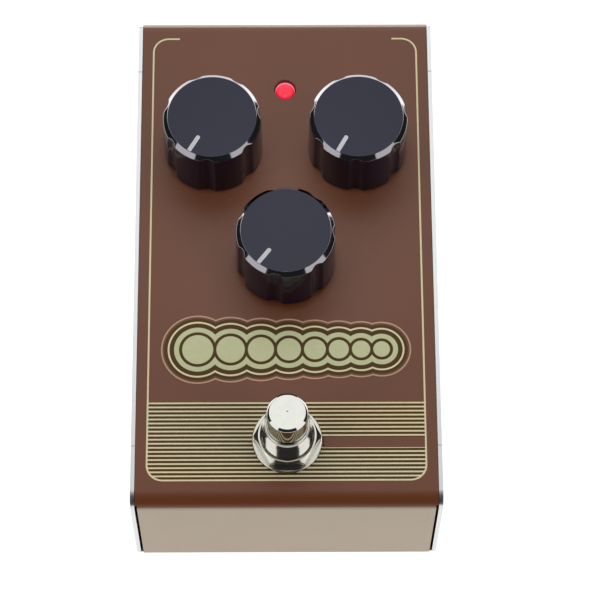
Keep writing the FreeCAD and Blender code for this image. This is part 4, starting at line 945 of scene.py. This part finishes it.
# %% Side screws
SCREW_HEAD, SCREW, SCREW_LENGTH = (size * MM for size in (2.45, 1.5, 6.0))
screw = turned("screw", [(0, -SCREW_LENGTH), (SCREW, -SCREW_LENGTH), (SCREW, SCREW - SCREW_HEAD),
                         (SCREW_HEAD - 0.03 * MM, -0.03 * MM), (SCREW_HEAD - 0.1 * MM, 0), (0, 0)], steps=64)
CROSS_LONG, CROSS_WIDE, CROSS_DEEP = (size * MM for size in (2.7, 0.55, 0.8))
for length, width in ((CROSS_LONG, CROSS_WIDE), (CROSS_WIDE, CROSS_LONG)):
    combine(screw, block("cutter", (length, width, 2 * CROSS_DEEP), (0, 0, 0)))
soften(screw, 0.05 * MM, 1)
screws = []
for side in (-1, 1):
    for end in (-1, 1):
        aim = Matrix.Translation((side * tray_high.x, end * SCREW_Y, SCREW_HEIGHT))
        screws.append(copy_of(screw, aim @ Matrix.Rotation(math.radians(90 * side), 4, "Y")))
bpy.data.objects.remove(screw, do_unlink=True)
screws = merge_pieces("side_screw_heads", screws)
dress(screws, "case", screw_nickel, ["side_screws"], smooth=35)

# %% [markdown]
# The rear wall has two jacks and the power inlet. Each is a black moulding behind the wall with a
# round nose that comes through it; washers and nuts hold the jacks.

# %% Jacks and power inlet
wall_outside = cover_high.y
wall_inside = wall_outside - SHEET
NOSE, NOSE_BORE, BORE_DEPTH = 4.7 * MM, 3.25 * MM, 32 * MM


def rear_moulding(name, node, nose, nose_bore, depth, corner):
    """A moulded block behind the rear wall, its turned nose, and one blind bore through both."""
    low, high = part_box(node)
    x = (high.x + low.x) / 2
    body = block(name, (high.x - low.x, wall_inside - low.y, high.z - low.z),
                 (x, (wall_inside + low.y) / 2, (high.z + low.z) / 2))
    bpy.ops.object.mode_set(mode="OBJECT")
    soften(body, corner, 3, 60)
    reach = high.y - wall_inside
    tube = turned("nose", [
        (nose_bore + 0.5 * MM, -2 * MM), (nose, -2 * MM), (nose, reach - 0.4 * MM),
        (nose - 0.4 * MM, reach), (nose_bore + 0.35 * MM, reach), (nose_bore, reach - 0.35 * MM),
        (nose_bore, -MM)], steps=96, ring=True)
    move_piece(tube, x, wall_inside, jack_height, LIE_ALONG_Y)
    cutter = drum("cutter", nose_bore, -depth, CUT, 0, 0)
    close_edit(cutter)
    combine(body, move_piece(cutter, x, high.y, jack_height, LIE_ALONG_Y))
    return merge_pieces(name, [body, tube])


for name in JACKS:
    socket = rear_moulding(name + "_jack_socket", name + "_jack", NOSE, NOSE_BORE, BORE_DEPTH, MM)
    dress(socket, "case", black_plastic, [name + "_jack"])
inlet = rear_moulding("power_inlet_socket", "power_inlet", nose=5.2 * MM, nose_bore=2.85 * MM,
                      depth=11 * MM, corner=0.6 * MM)
dress(inlet, "case", black_plastic, ["power_inlet"])
pin_low, pin_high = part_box("power_inlet_pin")
PIN, PIN_LENGTH, PIN_ROUND = 1.05 * MM, pin_high.y - pin_low.y, 0.4 * MM
pin = turned("power_inlet_centre_pin", [
    (0, 0), (PIN, 0), (PIN, PIN_LENGTH - PIN_ROUND), (PIN - PIN_ROUND, PIN_LENGTH),
    (0, PIN_LENGTH)], steps=48)
move_piece(pin, 0, pin_low.y, jack_height, LIE_ALONG_Y)
dress(pin, "case", nickel, ["power_inlet_pin"])

JACK_WASHER, JACK_WASHER_THICK = 7 * MM, 0.4 * MM
jack_washer = turned("washer", [
    (NOSE + 0.1 * MM, 0), (JACK_WASHER, 0), (JACK_WASHER, JACK_WASHER_THICK - 0.1 * MM),
    (JACK_WASHER - 0.1 * MM, JACK_WASHER_THICK), (NOSE + 0.1 * MM, JACK_WASHER_THICK)], steps=120, ring=True)
jack_nut = hexagon_nut("nut", flats=12 * MM, height=1.8 * MM, bore=NOSE + 0.02 * MM,
                       chamfer_radius=5.9 * MM, countersink=0.3 * MM)
places = [Matrix.Translation((spot.x, wall_outside, jack_height)) @ LIE_ALONG_Y
          for spot in JACKS.values()]
lifted = [place @ Matrix.Translation((0, 0, JACK_WASHER_THICK)) for place in places]
washers = merge_pieces("jack_washer_rings", [copy_of(jack_washer, place) for place in places])
nuts = merge_pieces("jack_hex_nuts", [copy_of(jack_nut, place) for place in lifted])
for template in (jack_washer, jack_nut):
    bpy.data.objects.remove(template, do_unlink=True)
dress(washers, "case", nickel, ["jack_washers"])
dress(nuts, "case", nickel, ["jack_nuts"], smooth=24)

# %% [markdown]
# Everything inside the case keeps its CAD solid and gets a finish.

# %% Finishes for the pieces inside
INSIDE = {
    zinc: ["corner_brackets", "mix_shaft", "repeats_shaft", "time_shaft", "footswitch_clip",
           "footswitch_frame"],
    nickel: ["pot_nuts", "pot_washers", "footswitch_lock_nut"],
    tinned: ["pot_pins", "footswitch_lugs", "indicator_leads", "jack_pins"],
    black_plastic: ["mix_pot", "repeats_pot", "time_pot", "delay_chips", "voltage_regulator",
                    "chip_resistors"],
    switch_blue: ["footswitch_case"], board_green: ["main_board", "switch_board"],
    can_sleeve: ["electrolytic_capacitors"], film_red: ["film_capacitors"],
    ribbon_vinyl: ["ribbon_cable"], header_cream: ["ribbon_headers"],
}
for material, names in INSIDE.items():
    for name in names:
        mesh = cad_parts[name].data
        mesh.materials.clear()
        mesh.materials.append(material)
print(sum(len(names) for names in INSIDE.values()), "inner pieces finished")

# %% [markdown]
# The pedal stands on a plain white floor, a hair below its mat. Chrome and gloss show only what is
# around them, so the lights are large soft boxes: a sweep behind that every flat top mirrors, a
# weak one overhead, one on each side, and two at the front corners, with a dark space between
# them that draws the black bands in the chrome. A small one behind a grid lifts the shade that
# the knobs throw on each other.

# %% Floor and lights
FLOOR_RADIUS, FLOOR_BACK, FLOOR_DROP = 0.55, 0.2, 0.3 * MM
GLOW_START, GLOW_FULL = 0.12, 0.32
floor = start("circle", "floor", vertices=96, radius=FLOOR_RADIUS, fill_type="NGON")
bpy.ops.transform.translate(value=(0, FLOOR_BACK, -FLOOR_DROP))
close_edit(floor)
white = Finish("floor_white")
spot, (x, y, z) = white.place()
glow = white.blend(white.step(y, GLOW_START, GLOW_FULL), (0.33, 0.33, 0.33, 1), (1, 1, 1, 1))
floor.data.materials.append(white.close(Base_Color=(0.3, 0.3, 0.3, 1), Roughness=0.6,
                                        Emission_Strength=3.0, Emission_Color=glow))


def softbox(name, place, aim, width, height, radiance, spread=180):
    """A soft box of even brightness. A radiance of 1 shows as white, a narrow spread is a grid."""
    light = bpy.data.lights.new(name, "AREA")
    light.shape = "RECTANGLE"
    light.size, light.size_y = width, height
    light.energy = radiance * math.pi * width * height
    light.spread = math.radians(spread)
    box = bpy.data.objects.new(name, light)
    box.location = place
    box.rotation_euler = (Vector(place) - Vector(aim)).to_track_quat("Z", "Y").to_euler()
    box.visible_camera = False
    bpy.context.scene.collection.objects.link(box)


def at(azimuth, elevation, distance):
    """A place around the pedal. Azimuth 0 is behind it and 90 is on its right."""
    turn, rise = math.radians(azimuth), math.radians(elevation)
    way = Vector((math.sin(turn) * math.cos(rise), math.cos(turn) * math.cos(rise), math.sin(rise)))
    return way * distance


CENTRE = Vector((0, 0, 0.04))
softbox("rear_sweep", CENTRE + at(0, 41.5, 1.1), CENTRE, 1.5, 1.45, 1.27)
softbox("overhead", CENTRE + at(0, 87, 1.1), CENTRE, 1.2, 0.42, 0.25)
POOL_Y, FRONT_HEIGHT = 0.018, 0.41
softbox("knob_pool", (0, POOL_Y, 0.34), (0, POOL_Y, 0), 0.03, 0.03, 0.75, spread=20)
for side, name in ((-1, "left_fill"), (1, "right_fill")):
    softbox(name, CENTRE + at(side * 90, 58, 1.1), CENTRE, 0.9, 0.75, 1.0)
for side, name in ((-1, "front_left"), (1, "front_right")):
    stand = at(side * 125.5, 0, 0.7)
    softbox(name, (stand.x, stand.y, FRONT_HEIGHT), (0, 0, FRONT_HEIGHT), 0.5, 0.85, 1.25)
world = bpy.data.worlds.new("studio")
world.use_nodes = True
tree = world.node_tree
rays = tree.nodes.new("ShaderNodeLightPath")
backdrop = tree.nodes.new("ShaderNodeMix")
backdrop.data_type = "RGBA"
backdrop.inputs[6].default_value = (0.03, 0.03, 0.03, 1)
backdrop.inputs[7].default_value = (1.05, 1.05, 1.05, 1)
tree.links.new(rays.outputs["Is Camera Ray"], backdrop.inputs[0])
tree.links.new(backdrop.outputs[2], tree.nodes["Background"].inputs["Color"])
bpy.context.scene.world = world
